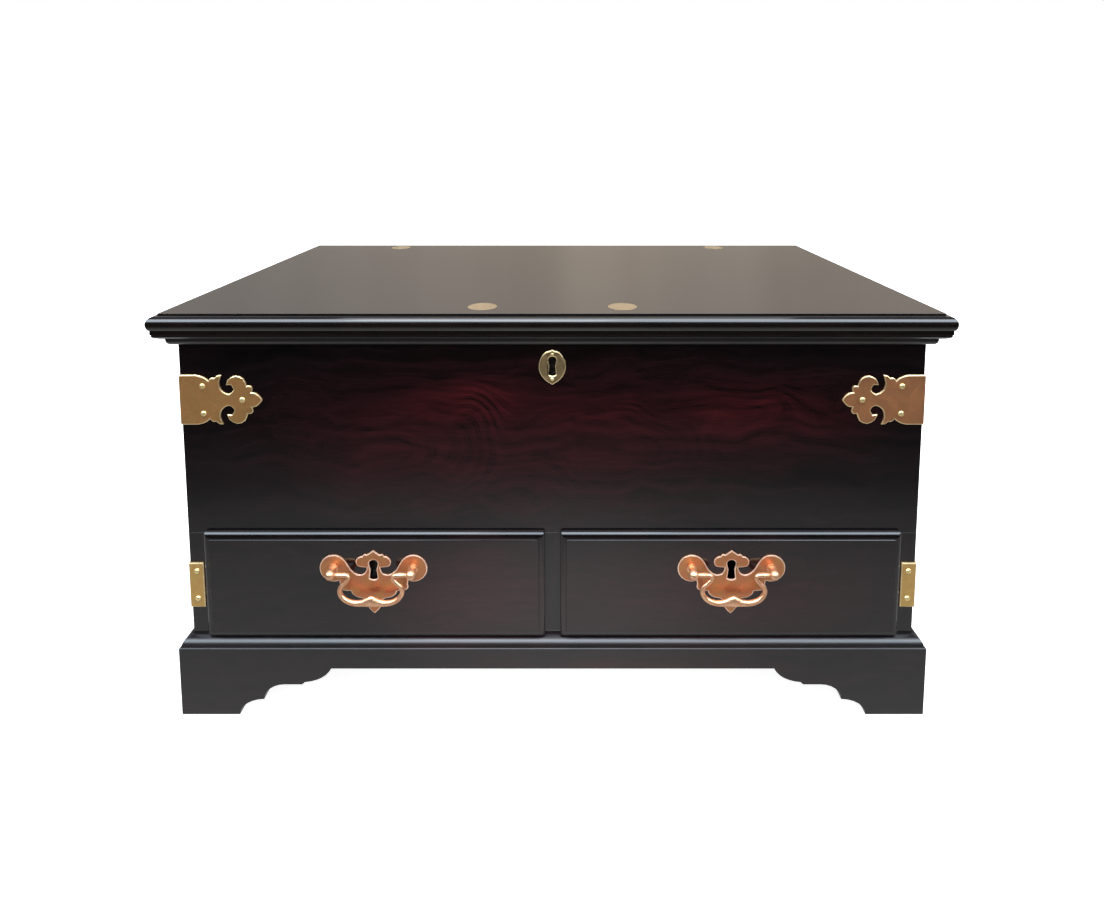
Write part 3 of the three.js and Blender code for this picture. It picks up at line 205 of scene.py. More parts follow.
class BrassSettings(bpy.types.PropertyGroup):
    strap: colour_setting("Upper left strap", "Aged brass of the upper left strap", "#bd9158")
    strap_red: colour_setting("Upper right strap", "Redder brass of the upper right strap", "#bb8259")
    strap_yellow: colour_setting("Lower straps", "Yellow brass of the lower straps", "#caa663")
    strap_copper: colour_setting("Strap tarnish", "Reddish patches on the straps", "#a4683f")
    # The filed edges' pale colours are partly the filed metal's own and partly a painted highlight
    rim: colour_setting("Filed edge", "Bright filed edge of each brass plate", "#f0d9a8")
    escutcheon: colour_setting("Escutcheon brass", "Dull brass of the escutcheon", "#877656")
    pull: colour_setting("Pull brass", "Polished red brass of the drawer pulls", "#c37d58")
    pull_pale: colour_setting("Cast pull brass", "Paler cast brass of the bails and posts", "#e6b58f")
    pull_edge_and_highlight: colour_setting("Pull plate edge", "Pale pink filed edge of the pull plates", "#ffd8c0")
    disc: colour_setting("Disc brass", "Worn brass of the discs in the lid", "#9c8a70")
    nail: colour_setting("Nail heads", "Polished brass of the nail heads", "#f5dfa0")
    hinge: colour_setting("Hinge brass", "Plain brass of the hinges", "#b09150")
    iron: colour_setting("Lock iron", "Filed iron of the lock cases and bolts", "#6d6a66")
    rim_width: length_setting("Filed edge width", "Width of the filed edge round a plate", 1.3)
    rim_depth: length_setting("Filed edge depth", "How far the filed edge falls back", 0.7)
    nail_radius: length_setting("Nail radius", "Radius of a strap nail's head", 4.1)
    wire_filling: length_setting("Wire filling", "What rounding takes off the bail's wire", 0.45)
    nail_height: length_setting("Nail height", "How far a nail head stands up", 2.3)


class StageSettings(bpy.types.PropertyGroup):
    floor: colour_setting("Floor", "The pale floor", "#f4f4f4")
    focal_length_mm: bpy.props.FloatProperty(
        name="Focal length", description="Of the camera, in millimetres", default=22.34, min=1
    )
    camera_height: length_setting("Camera height", "Above the floor", 792.4)
    camera_distance: length_setting("Camera distance", "In front of the chest's front board", 894.0)
    camera_side: length_setting("Camera side step", "To the right of the chest's middle", 18.6)
    camera_pitch: bpy.props.FloatProperty(
        name="Camera pitch",
        description="How far the camera looks down",
        subtype="ANGLE",
        unit="ROTATION",
        default=math.radians(5.5),
    )


def cleared_tree(owner):
    """The node tree of a material or a world, empty."""
    owner.use_nodes = True
    owner.node_tree.nodes.clear()
    return owner.node_tree


def set_inputs(tree, node, inputs):
    """Sets a node's inputs, by name or by place, to values or to linked sockets."""
    for name, value in inputs.items():
        if isinstance(value, bpy.types.NodeSocket):
            tree.links.new(value, node.inputs[name])
        else:
            node.inputs[name].default_value = value


def add_node(tree, kind, settings=None, inputs=None):
    made = tree.nodes.new(kind)
    for name, value in (settings or {}).items():
        setattr(made, name, value)
    set_inputs(tree, made, inputs or {})
    return made


def calculate(tree, operation, *numbers, use_clamp=False):
    settings = {"operation": operation, "use_clamp": use_clamp}
    return add_node(tree, "ShaderNodeMath", settings, dict(enumerate(numbers))).outputs[0]


def calculate_vector(tree, operation, *vectors):
    """A sum with vectors or colours, whose answer is a number for a length or a dot product."""
    settings = {"operation": operation}
    made = add_node(tree, "ShaderNodeVectorMath", settings, dict(enumerate(vectors)))
    return made.outputs["Value" if operation in ("LENGTH", "DOT_PRODUCT") else 0]


def remap(tree, value, low, high, to_low=0, to_high=1, fade="LINEAR"):
    """A number taken from one span to another, and held at its ends."""
    spans = {"Value": value, "From Min": low, "From Max": high, "To Min": to_low, "To Max": to_high}
    return add_node(tree, "ShaderNodeMapRange", {"interpolation_type": fade}, spans).outputs[0]


def colour_ramp(tree, value, stops):
    """The colour that a number from 0 to 1 gets, from stops with a position and a colour."""
    made = add_node(tree, "ShaderNodeValToRGB", {}, {0: value})
    elements = made.color_ramp.elements
    while len(elements) < len(stops):
        elements.new(1)
    for element, (position, colour) in zip(elements, stops):
        element.position = position
        element.color = (*colour, 1)
    return made.outputs[0]


def mix_colours(tree, share, first, second, blend="MIX"):
    settings = {"data_type": "RGBA", "blend_type": blend}
    return add_node(tree, "ShaderNodeMix", settings, {0: share, 6: first, 7: second}).outputs[2]


def noise(tree, place, scale, detail, roughness=0.5, distortion=0):
    """The outputs of a noise: the first is a number, the colour is a vector."""
    facts = {"Scale": scale, "Detail": detail, "Roughness": roughness, "Distortion": distortion}
    return add_node(tree, "ShaderNodeTexNoise", {}, {"Vector": place, **facts}).outputs


def grain_noise(tree, place, direction, along, across, detail, distortion=0):
    """A noise drawn out along the grain, which runs on one axis: its length and its width."""
    scale = [1 / along if axis == direction else 1 / across for axis in "XYZ"]
    drawn = add_node(tree, "ShaderNodeMapping", {}, {"Vector": place, "Scale": scale}).outputs[0]
    return noise(tree, drawn, 1, detail, distortion=distortion)[0]


def bumped(tree, height, strength, distance):
    """The normal of a surface that stands up by the height's share of a distance."""
    facts = {"Height": height, "Strength": strength, "Distance": distance}
    return add_node(tree, "ShaderNodeBump", {}, facts).outputs[0]


WHITE = (1, 1, 1, 1)


def grey(value):
    return (value, value, value)


def new_material(name):
    """A material with its node tree and its Principled shader, whose inputs are still to be set."""
    material = bpy.data.materials.new(name)
    tree = cleared_tree(material)
    surface = add_node(tree, "ShaderNodeBsdfPrincipled")
    add_node(tree, "ShaderNodeOutputMaterial", {}, {"Surface": surface.outputs[0]})
    return material, tree, surface


def soft_spots(tree, place, spots):
    """A smooth field: the sum of soft bumps, each with its centre, its reach and its height."""
    total = None
    for centre, reach, height in spots:
        offset = calculate_vector(tree, "SUBTRACT", place, centre)
        distance = calculate_vector(tree, "LENGTH", calculate_vector(tree, "DIVIDE", offset, reach))
        spot = remap(tree, distance, 0, 1, height, 0, fade="SMOOTHERSTEP")
        total = spot if total is None else calculate(tree, "ADD", total, spot)
    return total


# The growth rings of rosewood, with the strength of their lines as a share
WAVER_SHIFT = 50 * MM  # how far the small wavers shift the rings at most
BEND_RINGS = 6  # how many rings one slow bend crosses
FINE_RINGS, FINE_STRENGTH = 2.7, 0.6  # fine lines to a broad one, and their strength
FADES = 14  # how many times in a metre the lines come and go
STREAK_BENDS, STREAK_PORES = 2, 9  # a streak is two slow bends long and nine pores broad
FAINTEST_LINES = 0.02
CASE_FIGURE, LID_FIGURE, FRONT_FIGURE = 0.08, 0.12, 0.28  # the strongest lines of each board
HEART_BASE, HEART_CONTRAST = (0.5, 0.6), (1.36, 1.8)  # the red's least and most, by the lines' share

# The French polish on it: shellac, over pores that it doesn't quite fill
SHELLAC_IOR = 1.5
BARE_ROUGHNESS, BARE_GLOSS = 0.42, 0.1  # the wood under it is dull: the gloss is the polish's
POLISHED_COAT, RUBBED_COAT = 0.09, 0.34  # roughness: broad boards, and mouldings dulled by wear
STROKES, STROKE_DEPTH = 9, 1.2 * MM  # waves left by the rubber: how many in a metre, how deep
PORE_DEPTH = 0.3 * MM


def growth_rings(tree, direction, place, wavered, swirls):
    """The rings' lines, from about -1.6 to 1.6: height across the grain, bent by a slow noise and
    by the swirls, gives broad lines with fine ones between them."""
    wood = bpy.context.scene.chest_wood
    ring_steps = [0 if axis == direction else 1 / wood.ring_spacing for axis in "XYZ"]
    level = calculate_vector(tree, "DOT_PRODUCT", wavered, ring_steps)
    bend = grain_noise(tree, place, direction, wood.figure_length, wood.figure_height, 1)
    level = calculate(tree, "MULTIPLY_ADD", bend, BEND_RINGS, level)
    if swirls:
        level = calculate(tree, "ADD", level, soft_spots(tree, wavered, swirls))
    turn = calculate(tree, "MULTIPLY", level, math.tau)
    broad = calculate(tree, "SINE", turn)
    fine = calculate(tree, "SINE", calculate(tree, "MULTIPLY", turn, FINE_RINGS))
    return calculate(tree, "MULTIPLY_ADD", fine, FINE_STRENGTH, broad)


def polished_rosewood(
    name, direction, dark, mid, figure, swirls=(), red_spots=(), coat_roughness=POLISHED_COAT
):
    """Rosewood, planed and French polished: a deep, near-black ground under a clear, glassy coat
    that is a little wavy from the rubber. Growth rings run along the board as faint lines and
    swirl round its knots, and the red heart shows between them."""
    wood = bpy.context.scene.chest_wood
    material, tree, surface = new_material(name)
    place = add_node(tree, "ShaderNodeTexCoord").outputs["Object"]
    waver = noise(tree, place, 1 / wood.waver_length, 1, roughness=0.4)["Color"]
    shift = (WAVER_SHIFT, WAVER_SHIFT, WAVER_SHIFT)
    wavered = calculate_vector(tree, "MULTIPLY_ADD", waver, shift, place)
    rings = growth_rings(tree, direction, place, wavered, swirls)
    fade = noise(tree, wavered, FADES, 3)[0]
    strength = remap(tree, fade, 0.42, 0.7, FAINTEST_LINES, figure)
    if red_spots:
        heart = soft_spots(tree, wavered, red_spots)
        strength = calculate(tree, "MULTIPLY", strength, heart)

    pores = grain_noise(tree, place, direction, wood.pore_length, wood.pore_width, 3, 0.2)
    streak_length = wood.figure_length * STREAK_BENDS
    streak_width = wood.pore_width * STREAK_PORES
    streaks = grain_noise(tree, wavered, direction, streak_length, streak_width, 4)
    tone = calculate(tree, "MULTIPLY_ADD", rings, strength, streaks)
    colour = colour_ramp(tree, tone, ((0.3, dark), (0.8, mid)))

    # The rings' lines break the red up, the more so the stronger they are.
    if red_spots:
        least = HEART_BASE[0] - HEART_CONTRAST[0] * figure
        most = HEART_BASE[1] + HEART_CONTRAST[1] * figure
        heart_tone = remap(tree, tone, 0.2, 0.95, least, most)
        amount = calculate(tree, "MULTIPLY", heart, heart_tone, use_clamp=True)
        colour = mix_colours(tree, amount, colour, (*wood.heart_red, 1))

    pore_tone = colour_ramp(tree, pores, ((0.36, grey(0.55)), (0.5, grey(1))))
    strokes = noise(tree, place, STROKES, 2)[0]
    look = {
        "Base Color": mix_colours(tree, 0.6, colour, pore_tone, "MULTIPLY"),
        "Normal": bumped(tree, pores, 0.12, PORE_DEPTH),
        "Coat Normal": bumped(tree, strokes, 0.25, STROKE_DEPTH),
        "Roughness": BARE_ROUGHNESS,
        "Specular IOR Level": BARE_GLOSS,
        "Coat Weight": 1,
        "Coat Roughness": coat_roughness,
        "Coat IOR": SHELLAC_IOR,
    }
    set_inputs(tree, surface, look)
    return material


GRAIN_LINE = 8  # a grain line of a plain board is as broad as this many pores
GRAIN_DEPTH = 0.4 * MM


def plain_board(name, direction, dark, mid, roughness):
    """A planed and waxed board of a plainer wood: straight grain lines, a dull sheen."""
    wood = bpy.context.scene.chest_wood
    material, tree, surface = new_material(name)
    place = add_node(tree, "ShaderNodeTexCoord").outputs["Object"]
    line_width = wood.pore_width * GRAIN_LINE
    grain = grain_noise(tree, place, direction, wood.figure_length, line_width, 5, 0.4)
    look = {
        "Base Color": colour_ramp(tree, grain, ((0.35, dark), (0.62, mid))),
        "Normal": bumped(tree, grain, 0.3, GRAIN_DEPTH),
        "Roughness": roughness,
    }
    set_inputs(tree, surface, look)
    return material


SCRATCHES = (160, 160, 1900)  # in a metre on each axis: drawn coarser than real ones, to show
SCRATCH_SLANT = 0.5
SCRATCH_DEPTH = 0.2 * MM


def aged_brass(name, tone, tarnish, roughness, patch_mm=14, tarnish_amount=0.6, metal=1):
    """Sheet or cast brass, polished by hand for years: warm metal, cloudy with tarnish, finely
    scratched. A share of metal below one stands for the dull film that tarnish leaves."""
    material, tree, surface = new_material(name)
    place = add_node(tree, "ShaderNodeTexCoord").outputs["Object"]
    clouds = noise(tree, place, 1000 / patch_mm, 4, roughness=0.6, distortion=0.5)[0]
    cloud_tone = remap(tree, clouds, 0.38, 0.68, 0, tarnish_amount)
    scratched = {
        "Vector": place,
        "Scale": SCRATCHES,
        "Rotation": (0, SCRATCH_SLANT, 0),
    }
    scratch_place = add_node(tree, "ShaderNodeMapping", {}, scratched).outputs[0]
    height = calculate(tree, "MULTIPLY_ADD", clouds, 3, noise(tree, scratch_place, 1, 2)[0])
    look = {
        "Base Color": mix_colours(tree, cloud_tone, (*tone, 1), (*tarnish, 1)),
        "Roughness": remap(tree, clouds, 0.3, 0.7, roughness * 0.7, roughness * 1.35),
        "Normal": bumped(tree, height, 0.35, SCRATCH_DEPTH),
        "Metallic": metal,
    }
    set_inputs(tree, surface, look)
    return material


def shared_material(name, maker, *facts, **more):
    """A material that several pieces share, made once."""
    return bpy.data.materials.get(name) or maker(name, *facts, **more)


def case_wood(direction, finish="polished", coat_roughness=POLISHED_COAT):
    """The rosewood of the carcase and the drawers, with its grain along one axis."""
    wood = bpy.context.scene.chest_wood
    return shared_material(
        f"{finish}_rosewood_{direction.lower()}",
        polished_rosewood,
        direction,
        wood.heart_dark,
        wood.heart_mid,
        CASE_FIGURE,
        red_spots=CASE_RED_SPOTS if direction == "X" else (),
        coat_roughness=coat_roughness,
    )


def moulding_wood(direction):
    """The same rosewood on mouldings and the plinth, where wear has dulled the polish."""
    return case_wood(direction, "rubbed", RUBBED_COAT)


def filed_edge_and_highlight_brass():
    """The bright edge that a file leaves round a strap or an escutcheon, paler than the metal alone:
    partly the filed metal's own colour, partly a painted highlight.
    """
    brass = bpy.context.scene.chest_brass
    return shared_material(
        "filed_brass_edge_and_highlight",
        aged_brass,
        brass.rim,
        brass.strap,
        roughness=0.35,
        patch_mm=5,
        tarnish_amount=0.4,
        metal=0.8,
    )


def nail_brass():
    """The nails' domed heads, which stay bright because hands and cloths rub them."""
    brass = bpy.context.scene.chest_brass
    return shared_material(
        "polished_nail_brass",
        aged_brass,
        brass.nail,
        brass.strap,
        roughness=0.28,
        patch_mm=4,
        tarnish_amount=0.3,
        metal=0.6,
    )


def finish_node(name, material):
    """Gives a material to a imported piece, whose shape stays as it is."""
    mesh = frame["nodes"][name].data
    mesh.materials.clear()
    mesh.materials.append(material)


def copied_mesh(node, flats_whole=True):
    """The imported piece's surface, with its flat faces made whole again."""
    mesh = bmesh.new()
    mesh.from_mesh(frame["nodes"][node].data)
    bmesh.ops.remove_doubles(mesh, verts=mesh.verts, dist=WELD_DISTANCE)
    if flats_whole:
        bmesh.ops.dissolve_limit(
            mesh,
            angle_limit=FLAT_ANGLE,
            verts=mesh.verts,
            edges=mesh.edges,
            use_dissolve_boundaries=False,
        )
    return mesh


def shade_flats(data):
    """Shades the broad flats of a mesh flat, so that they mirror the room without a bend."""
    mesh = bmesh.new()
    mesh.from_mesh(data)
    placed = set()
    for start in sorted(mesh.faces, key=lambda face: -face.calc_area()):
        if start in placed:
            continue
        flat, ahead = {start}, [start]
        while ahead:
            near = {face for edge in ahead.pop().edges for face in edge.link_faces} - flat - placed
            level = [face for face in near if face.normal.dot(start.normal) > LEVEL_COSINE]
            flat.update(level)
            ahead.extend(level)
        placed |= flat
        area = sum(face.calc_area() for face in flat)
        rim = (edge for face in flat for edge in face.edges if not flat.issuperset(edge.link_faces))
        outline = sum(edge.calc_length() for edge in rim)
        for face in flat:
            data.polygons[face.index].use_smooth = 2 * area < FLAT_BREADTH * outline
    mesh.free()


def settle(name, mesh, materials, body, modifiers=(), smooth_degrees=35):
    """Makes the object, applies its modifiers, shades it and lets it ride on its body."""
    data = bpy.data.meshes.new(name)
    mesh.to_mesh(data)
    mesh.free()
    piece = bpy.data.objects.new(name, data)
    bpy.context.scene.collection.objects.link(piece)
    for material in materials:
        data.materials.append(material)
    for kind, settings in modifiers:
        modifier = piece.modifiers.new(kind.title(), kind)
        for key, value in settings.items():
            setattr(modifier, key, value)
    if modifiers:
        bpy.context.view_layer.update()
        shaped = piece.evaluated_get(bpy.context.evaluated_depsgraph_get())
        finished = bpy.data.meshes.new_from_object(shaped)
        piece.modifiers.clear()
        piece.data = finished
        finished.name = name
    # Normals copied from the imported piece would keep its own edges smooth.
    if "custom_normal" in piece.data.attributes:
        piece.data.attributes.remove(piece.data.attributes["custom_normal"])
    piece.data.shade_smooth()
    piece.data.set_sharp_from_angle(angle=math.radians(smooth_degrees))
    shade_flats(piece.data)
    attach(piece, body)
    return piece


def replace_node(node, finish, mesh, materials, modifiers=(), smooth_degrees=35):
    """Puts a finished piece in a packed one's place, on the same body, and hides the packed one."""
    body = frame["nodes"][node]["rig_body"]
    piece = settle(f"{node}_{finish}", mesh, materials, body, modifiers, smooth_degrees)
    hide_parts(node)


def fill_ovolo(mesh):
    """Draws a plinth piece's ovolo out into a full quarter round, which starts at the fillet."""
    for vert in mesh.verts:
        drop = PLINTH_TOP - vert.co.z
        side_out, front_out = abs(vert.co.x) + SIDE_LOW.x, FRONT_LOW.y - vert.co.y
        to_foot = OVOLO_FOOT - max(side_out, front_out)
        on_ovolo = -MERGE_DISTANCE < to_foot < OVOLO_WIDTH + MERGE_DISTANCE
        if not on_ovolo or drop > OVOLO_HEIGHT + MERGE_DISTANCE:
            continue
        inward = to_foot * (FULL_OVOLO_WIDTH / OVOLO_WIDTH - 1)
        if side_out > 0:
            vert.co.x -= math.copysign(inward, vert.co.x)
        if front_out > 0:
            vert.co.y += inward
        vert.co.z = PLINTH_TOP - drop * FULL_OVOLO_HEIGHT / OVOLO_HEIGHT
    bmesh.ops.remove_doubles(mesh, verts=mesh.verts, dist=MERGE_DISTANCE)


def round_arrises(mesh, direction, lowest, width):
    """Rounds the long edges of a piece's outermost flat, above a height, that catch the light."""
    out = Vector(direction)
    reach = max(vert.co.dot(out) for vert in mesh.verts)
    outermost = {vert for vert in mesh.verts if reach - vert.co.dot(out) < MERGE_DISTANCE}
    edges = [
        edge
        for edge in mesh.edges
        if outermost.issuperset(edge.verts)
        and edge.calc_length() > LONG_ARRIS
        and min(vert.co.z for vert in edge.verts) > lowest
        and edge.calc_face_angle_signed() > ARRIS_ANGLE
    ]
    bmesh.ops.bevel(
        mesh,
        geom=edges,
        offset=width,
        offset_type="OFFSET",
        segments=4,
        profile=0.5,
        affect="EDGES",
    )


def soften(node, material, width=None, flats_whole=True, reshape=None, arrises=None):
    """Replaces a wooden piece with a copy whose outer edges are rounded by sanding and use. Its
    inner corners stay crisp. The arrises are given as round_arrises takes them."""
    if width is None:
        width = bpy.context.scene.chest_wood.edge_wear
    mesh = copied_mesh(node, flats_whole)
    if reshape:
        reshape(mesh)
    if arrises:
        round_arrises(mesh, *arrises)
    weight = mesh.edges.layers.float.new("bevel_weight_edge")
    for edge in mesh.edges:
        edge[weight] = edge.calc_face_angle_signed() > WORN_ANGLE
    bevel = {"width": width, "segments": 3, "limit_method": "WEIGHT"}
    replace_node(node, "polished", mesh, [material], (("BEVEL", bevel),))


def chamfered_plate(node, faces_to, materials):
    """Replaces a brass plate with a copy whose visible face has a bright filed edge all round.
    The plate takes the first material and its edge the second, whose pale colour is partly a painted
    highlight."""
    brass = bpy.context.scene.chest_brass
    mesh = copied_mesh(node)
    for direction in faces_to:
        out = Vector(direction)
        reach = max(vert.co.dot(out) for vert in mesh.verts)
        top = [
            face
            for face in mesh.faces
            if face.normal.dot(out) > FACING_COSINE
            and abs(face.calc_center_median().dot(out) - reach) < MERGE_DISTANCE
        ]
        rim = bmesh.ops.inset_region(
            mesh, faces=top, thickness=brass.rim_width, use_even_offset=True, use_boundary=True
        )["faces"]
        inner = {vert for face in top for vert in face.verts}
        outer = {vert for face in rim for vert in face.verts} - inner
        for vert in outer:
            vert.co -= out * brass.rim_depth
        for face in rim:
            face.material_index = 1
    replace_node(node, "filed", mesh, materials, smooth_degrees=20)


def dome(mesh, place, out, radius, height, rings=4, sides=16):
    """Adds a low domed head, such as a nail's, standing out along one axis from its place."""
    out = Vector(out)
    across = Vector((0, 0, 1)).cross(out).normalized()
    up = out.cross(across)
    rows = []
    for ring in range(rings):
        angle = math.pi / 2 * ring / rings
        reach, rise = radius * math.cos(angle), height * math.sin(angle)
        row = []
        for side in range(sides):
            turn = math.tau * side / sides
            offset = across * (reach * math.cos(turn)) + up * (reach * math.sin(turn))
            row.append(mesh.verts.new(place + offset + out * rise))
        rows.append(row)
    for low, high in zip(rows, rows[1:]):
        for side in range(sides):
            after = (side + 1) % sides
            mesh.faces.new((low[side], low[after], high[after], high[side]))
    tip = mesh.verts.new(place + out * height)
    for side in range(sides):
        mesh.faces.new((rows[-1][side], rows[-1][(side + 1) % sides], tip))
    mesh.faces.new(list(reversed(rows[0])))


class CHEST_OT_carcase(bpy.types.Operator):
    """Finish the carcase boards and the plinth"""

    bl_idname = "chest.carcase"
    bl_label = "Carcase and plinth"
    bl_options = {"REGISTER", "UNDO"}

    def execute(self, context):
        wood = context.scene.chest_wood
        tones = (wood.heart_dark, wood.heart_mid)
        front = polished_rosewood(
            "polished_rosewood_figured", "X", *tones, FRONT_FIGURE, FRONT_SWIRLS, RED_SPOTS
        )
        soften("front_board", front)
        for node in ("left_side", "right_side"):
            soften(node, case_wood("Y"))
        for node in ("back_board", "base_board"):
            soften(node, case_wood("X"))
        plinth_face = PLINTH_TOP - 2 * FULL_OVOLO_HEIGHT
        for node, grain, out in (
            ("plinth_front", "X", TO_FRONT),
            ("plinth_left", "Y", TO_LEFT),
            ("plinth_right", "Y", TO_RIGHT),
        ):
            arrises = (out, plinth_face, PLINTH_ARRIS)
            soften(node, moulding_wood(grain), PLINTH_EDGE, reshape=fill_ovolo, arrises=arrises)
        soften("plinth_back", moulding_wood("X"), PLINTH_EDGE)
        soften("drawer_divider", case_wood("Z"))
        inside = plain_board(
            "waxed_mahogany_x", "X", wood.inside_dark, wood.inside_mid, roughness=0.5
        )
        finish_node("chest_floor", inside)
        for node in GLUE_BLOCK_NODES:
            finish_node(node, inside)
        return {"FINISHED"}


class CHEST_OT_lid(bpy.types.Operator):
    """Finish the lid, its mouldings and its brass discs"""

    bl_idname = "chest.lid"
    bl_label = "Lid"
    bl_options = {"REGISTER", "UNDO"}

    def execute(self, context):
        wood = context.scene.chest_wood
        brass = context.scene.chest_brass
        tones = (wood.lid_dark, wood.lid_mid)
        top = polished_rosewood("polished_rosewood_lid", "X", *tones, LID_FIGURE)
        soften("lid_board", top, LID_EDGE, flats_whole=False)
        soften("lid_moulding_front", moulding_wood("X"), MOULDING_EDGE)
        for node in ("lid_moulding_left", "lid_moulding_right"):
            soften(node, moulding_wood("Y"), MOULDING_EDGE)
        disc = aged_brass(
            "worn_disc_brass",
            brass.disc,
            brass.strap,
            roughness=0.55,
            patch_mm=6,
            tarnish_amount=0.35,
            metal=0.4,
        )
        for node in LID_DISC_NODES:
            finish_node(node, disc)
        return {"FINISHED"}


class CHEST_OT_drawers(bpy.types.Operator):
    """Finish both drawers"""

    bl_idname = "chest.drawers"
    bl_label = "Drawers"
    bl_options = {"REGISTER", "UNDO"}

    def execute(self, context):
        wood = context.scene.chest_wood
        tones = (wood.pine_dark, wood.pine_mid)
        pine_y = plain_board("planed_pine_y", "Y", *tones, roughness=0.6)
        pine_x = plain_board("planed_pine_x", "X", *tones, roughness=0.6)
        for drawer in DRAWERS:
            arrises = (TO_FRONT, 0, DRAWER_ARRIS)
            soften(f"{drawer}_front", case_wood("X"), DRAWER_EDGE, arrises=arrises)
            for node in (f"{drawer}_side_left", f"{drawer}_side_right"):
                finish_node(node, pine_y)
            for node in (f"{drawer}_back", f"{drawer}_bottom"):
                finish_node(node, pine_x)
        return {"FINISHED"}


def drive_strap_nails(end, side):
    """The nails of both straps on one corner, in the front leaves and the side ones."""
    brass = bpy.context.scene.chest_brass
    plate_out = SIDE_LOW.x - STRAP_LOW.x
    upper_middle = (STRAP_LOW.z + STRAP_HIGH.z) / 2
    lower_middle = (LOWER_LOW.z + LOWER_HIGH.z) / 2
    mesh = bmesh.new()
    for nails, middle in ((UPPER_NAILS, upper_middle), (LOWER_FRONT_NAILS, lower_middle)):
        for along, up in nails:
            x = side * (-SIDE_LOW.x - along * MM)
            place = Vector((x, FRONT_LOW.y - plate_out, middle + up * MM))
            dome(mesh, place, TO_FRONT, brass.nail_radius, brass.nail_height)
    for nails, middle in ((UPPER_NAILS, upper_middle), (LOWER_SIDE_NAILS, lower_middle)):
        for along, up in nails:
            y = FRONT_LOW.y + along * MM
            place = Vector((side * (-SIDE_LOW.x + plate_out), y, middle + up * MM))
            dome(mesh, place, (side, 0, 0), brass.nail_radius, brass.nail_height)
    settle(
        f"strap_nails_{end}", mesh, [nail_brass()], "carcase", smooth_degrees=60
    )


class CHEST_OT_straps(bpy.types.Operator):
    """Finish the corner straps and drive their nails"""

    bl_idname = "chest.straps"
    bl_label = "Corner straps"
    bl_options = {"REGISTER", "UNDO"}

    def execute(self, context):
        brass = context.scene.chest_brass
        film = {"roughness": 0.46, "metal": 0.6}
        lower = aged_brass("yellow_strap_brass", brass.strap_yellow, brass.strap, **film)
        for side, end, name, tone in (
            (-1, "left", "aged_strap_brass", brass.strap),
            (1, "right", "red_strap_brass", brass.strap_red),
        ):
            upper = aged_brass(name, tone, brass.strap_copper, **film)
            leaves = (TO_FRONT, (side, 0, 0))
            chamfered_plate(f"upper_strap_{end}", leaves, [upper, filed_edge_and_highlight_brass()])
            chamfered_plate(f"lower_strap_{end}", leaves, [lower, filed_edge_and_highlight_brass()])
            drive_strap_nails(end, side)
        return {"FINISHED"}


class CHEST_OT_escutcheon(bpy.types.Operator):
    """Finish the escutcheon and its pins"""

    bl_idname = "chest.escutcheon"
    bl_label = "Escutcheon"
    bl_options = {"REGISTER", "UNDO"}

    def execute(self, context):
        brass = context.scene.chest_brass
        plate = aged_brass(
            "dull_escutcheon_brass",
            brass.escutcheon,
            brass.strap,
            roughness=0.46,
            patch_mm=8,
            tarnish_amount=0.4,
            metal=0.6,
        )
        chamfered_plate("escutcheon", (TO_FRONT,), [plate, filed_edge_and_highlight_brass()])
        mesh = bmesh.new()
        for z, radius in ESCUTCHEON_PINS:
            dome(mesh, Vector((0, ESCUTCHEON_LOW.y, z)), TO_FRONT, radius, brass.nail_height)
        settle(
            "escutcheon_pins", mesh, [nail_brass()], "carcase", smooth_degrees=60
        )
        return {"FINISHED"}


class CHEST_OT_pulls(bpy.types.Operator):
    """Finish the drawer pulls"""

    bl_idname = "chest.pulls"
    bl_label = "Drawer pulls"
    bl_options = {"REGISTER", "UNDO"}

    def execute(self, context):
        brass = context.scene.chest_brass
        plate = aged_brass(
            "polished_red_brass",
            brass.pull,
            brass.strap,
            roughness=0.38,
            patch_mm=11,
            tarnish_amount=0.7,
            metal=0.75,
        )
        cast = aged_brass(
            "cast_red_brass",
            brass.pull_pale,
            brass.pull,
            roughness=0.34,
            patch_mm=9,
            metal=0.75,
        )
        # The plates' pale edge is partly filed metal and partly a painted highlight
        rim = aged_brass(
            "filed_red_brass_edge_and_highlight",
            brass.pull_edge_and_highlight,
            brass.pull_pale,
            roughness=0.35,
            patch_mm=5,
            tarnish_amount=0.5,
            metal=0.5,
        )
        turned = {"width": POST_EDGE, "segments": 2, "limit_method": "ANGLE"}
        rounded = {"levels": 2, "render_levels": 2}
        for drawer in DRAWERS:
            chamfered_plate(f"{drawer}_pull_plate", (TO_FRONT,), [plate, rim])
            for end in ("left", "right"):
                node = f"{drawer}_post_{end}"
                mesh = copied_mesh(node)
                replace_node(node, "turned", mesh, [cast], (("BEVEL", turned),), smooth_degrees=40)
            # Rounding the bail's wire thins it, so it is thickened first.
            mesh = copied_mesh(f"{drawer}_bail", flats_whole=False)
            for vert in mesh.verts:
                vert.co += vert.normal * brass.wire_filling
            node = f"{drawer}_bail"
            replace_node(node, "cast", mesh, [cast], (("SUBSURF", rounded),), smooth_degrees=70)
        return {"FINISHED"}


class CHEST_OT_ironwork(bpy.types.Operator):
    """Finish the hinges and locks"""

    bl_idname = "chest.ironwork"
    bl_label = "Hinges and locks"
    bl_options = {"REGISTER", "UNDO"}

    def execute(self, context):
        brass = context.scene.chest_brass
        hinge = aged_brass("plain_hinge_brass", brass.hinge, brass.strap_copper, roughness=0.4)
        iron = aged_brass(
            "filed_lock_iron",
            brass.iron,
            brass.escutcheon,
            roughness=0.45,
            patch_mm=10,
            tarnish_amount=0.3,
        )
        for node in (*HINGE_NODES, "chest_lock_keeper"):
            finish_node(node, hinge)
        for lock in ("chest", *DRAWERS):
            finish_node(f"{lock}_lock_case", iron)
            finish_node(f"{lock}_lock_bolt", iron)
        return {"FINISHED"}
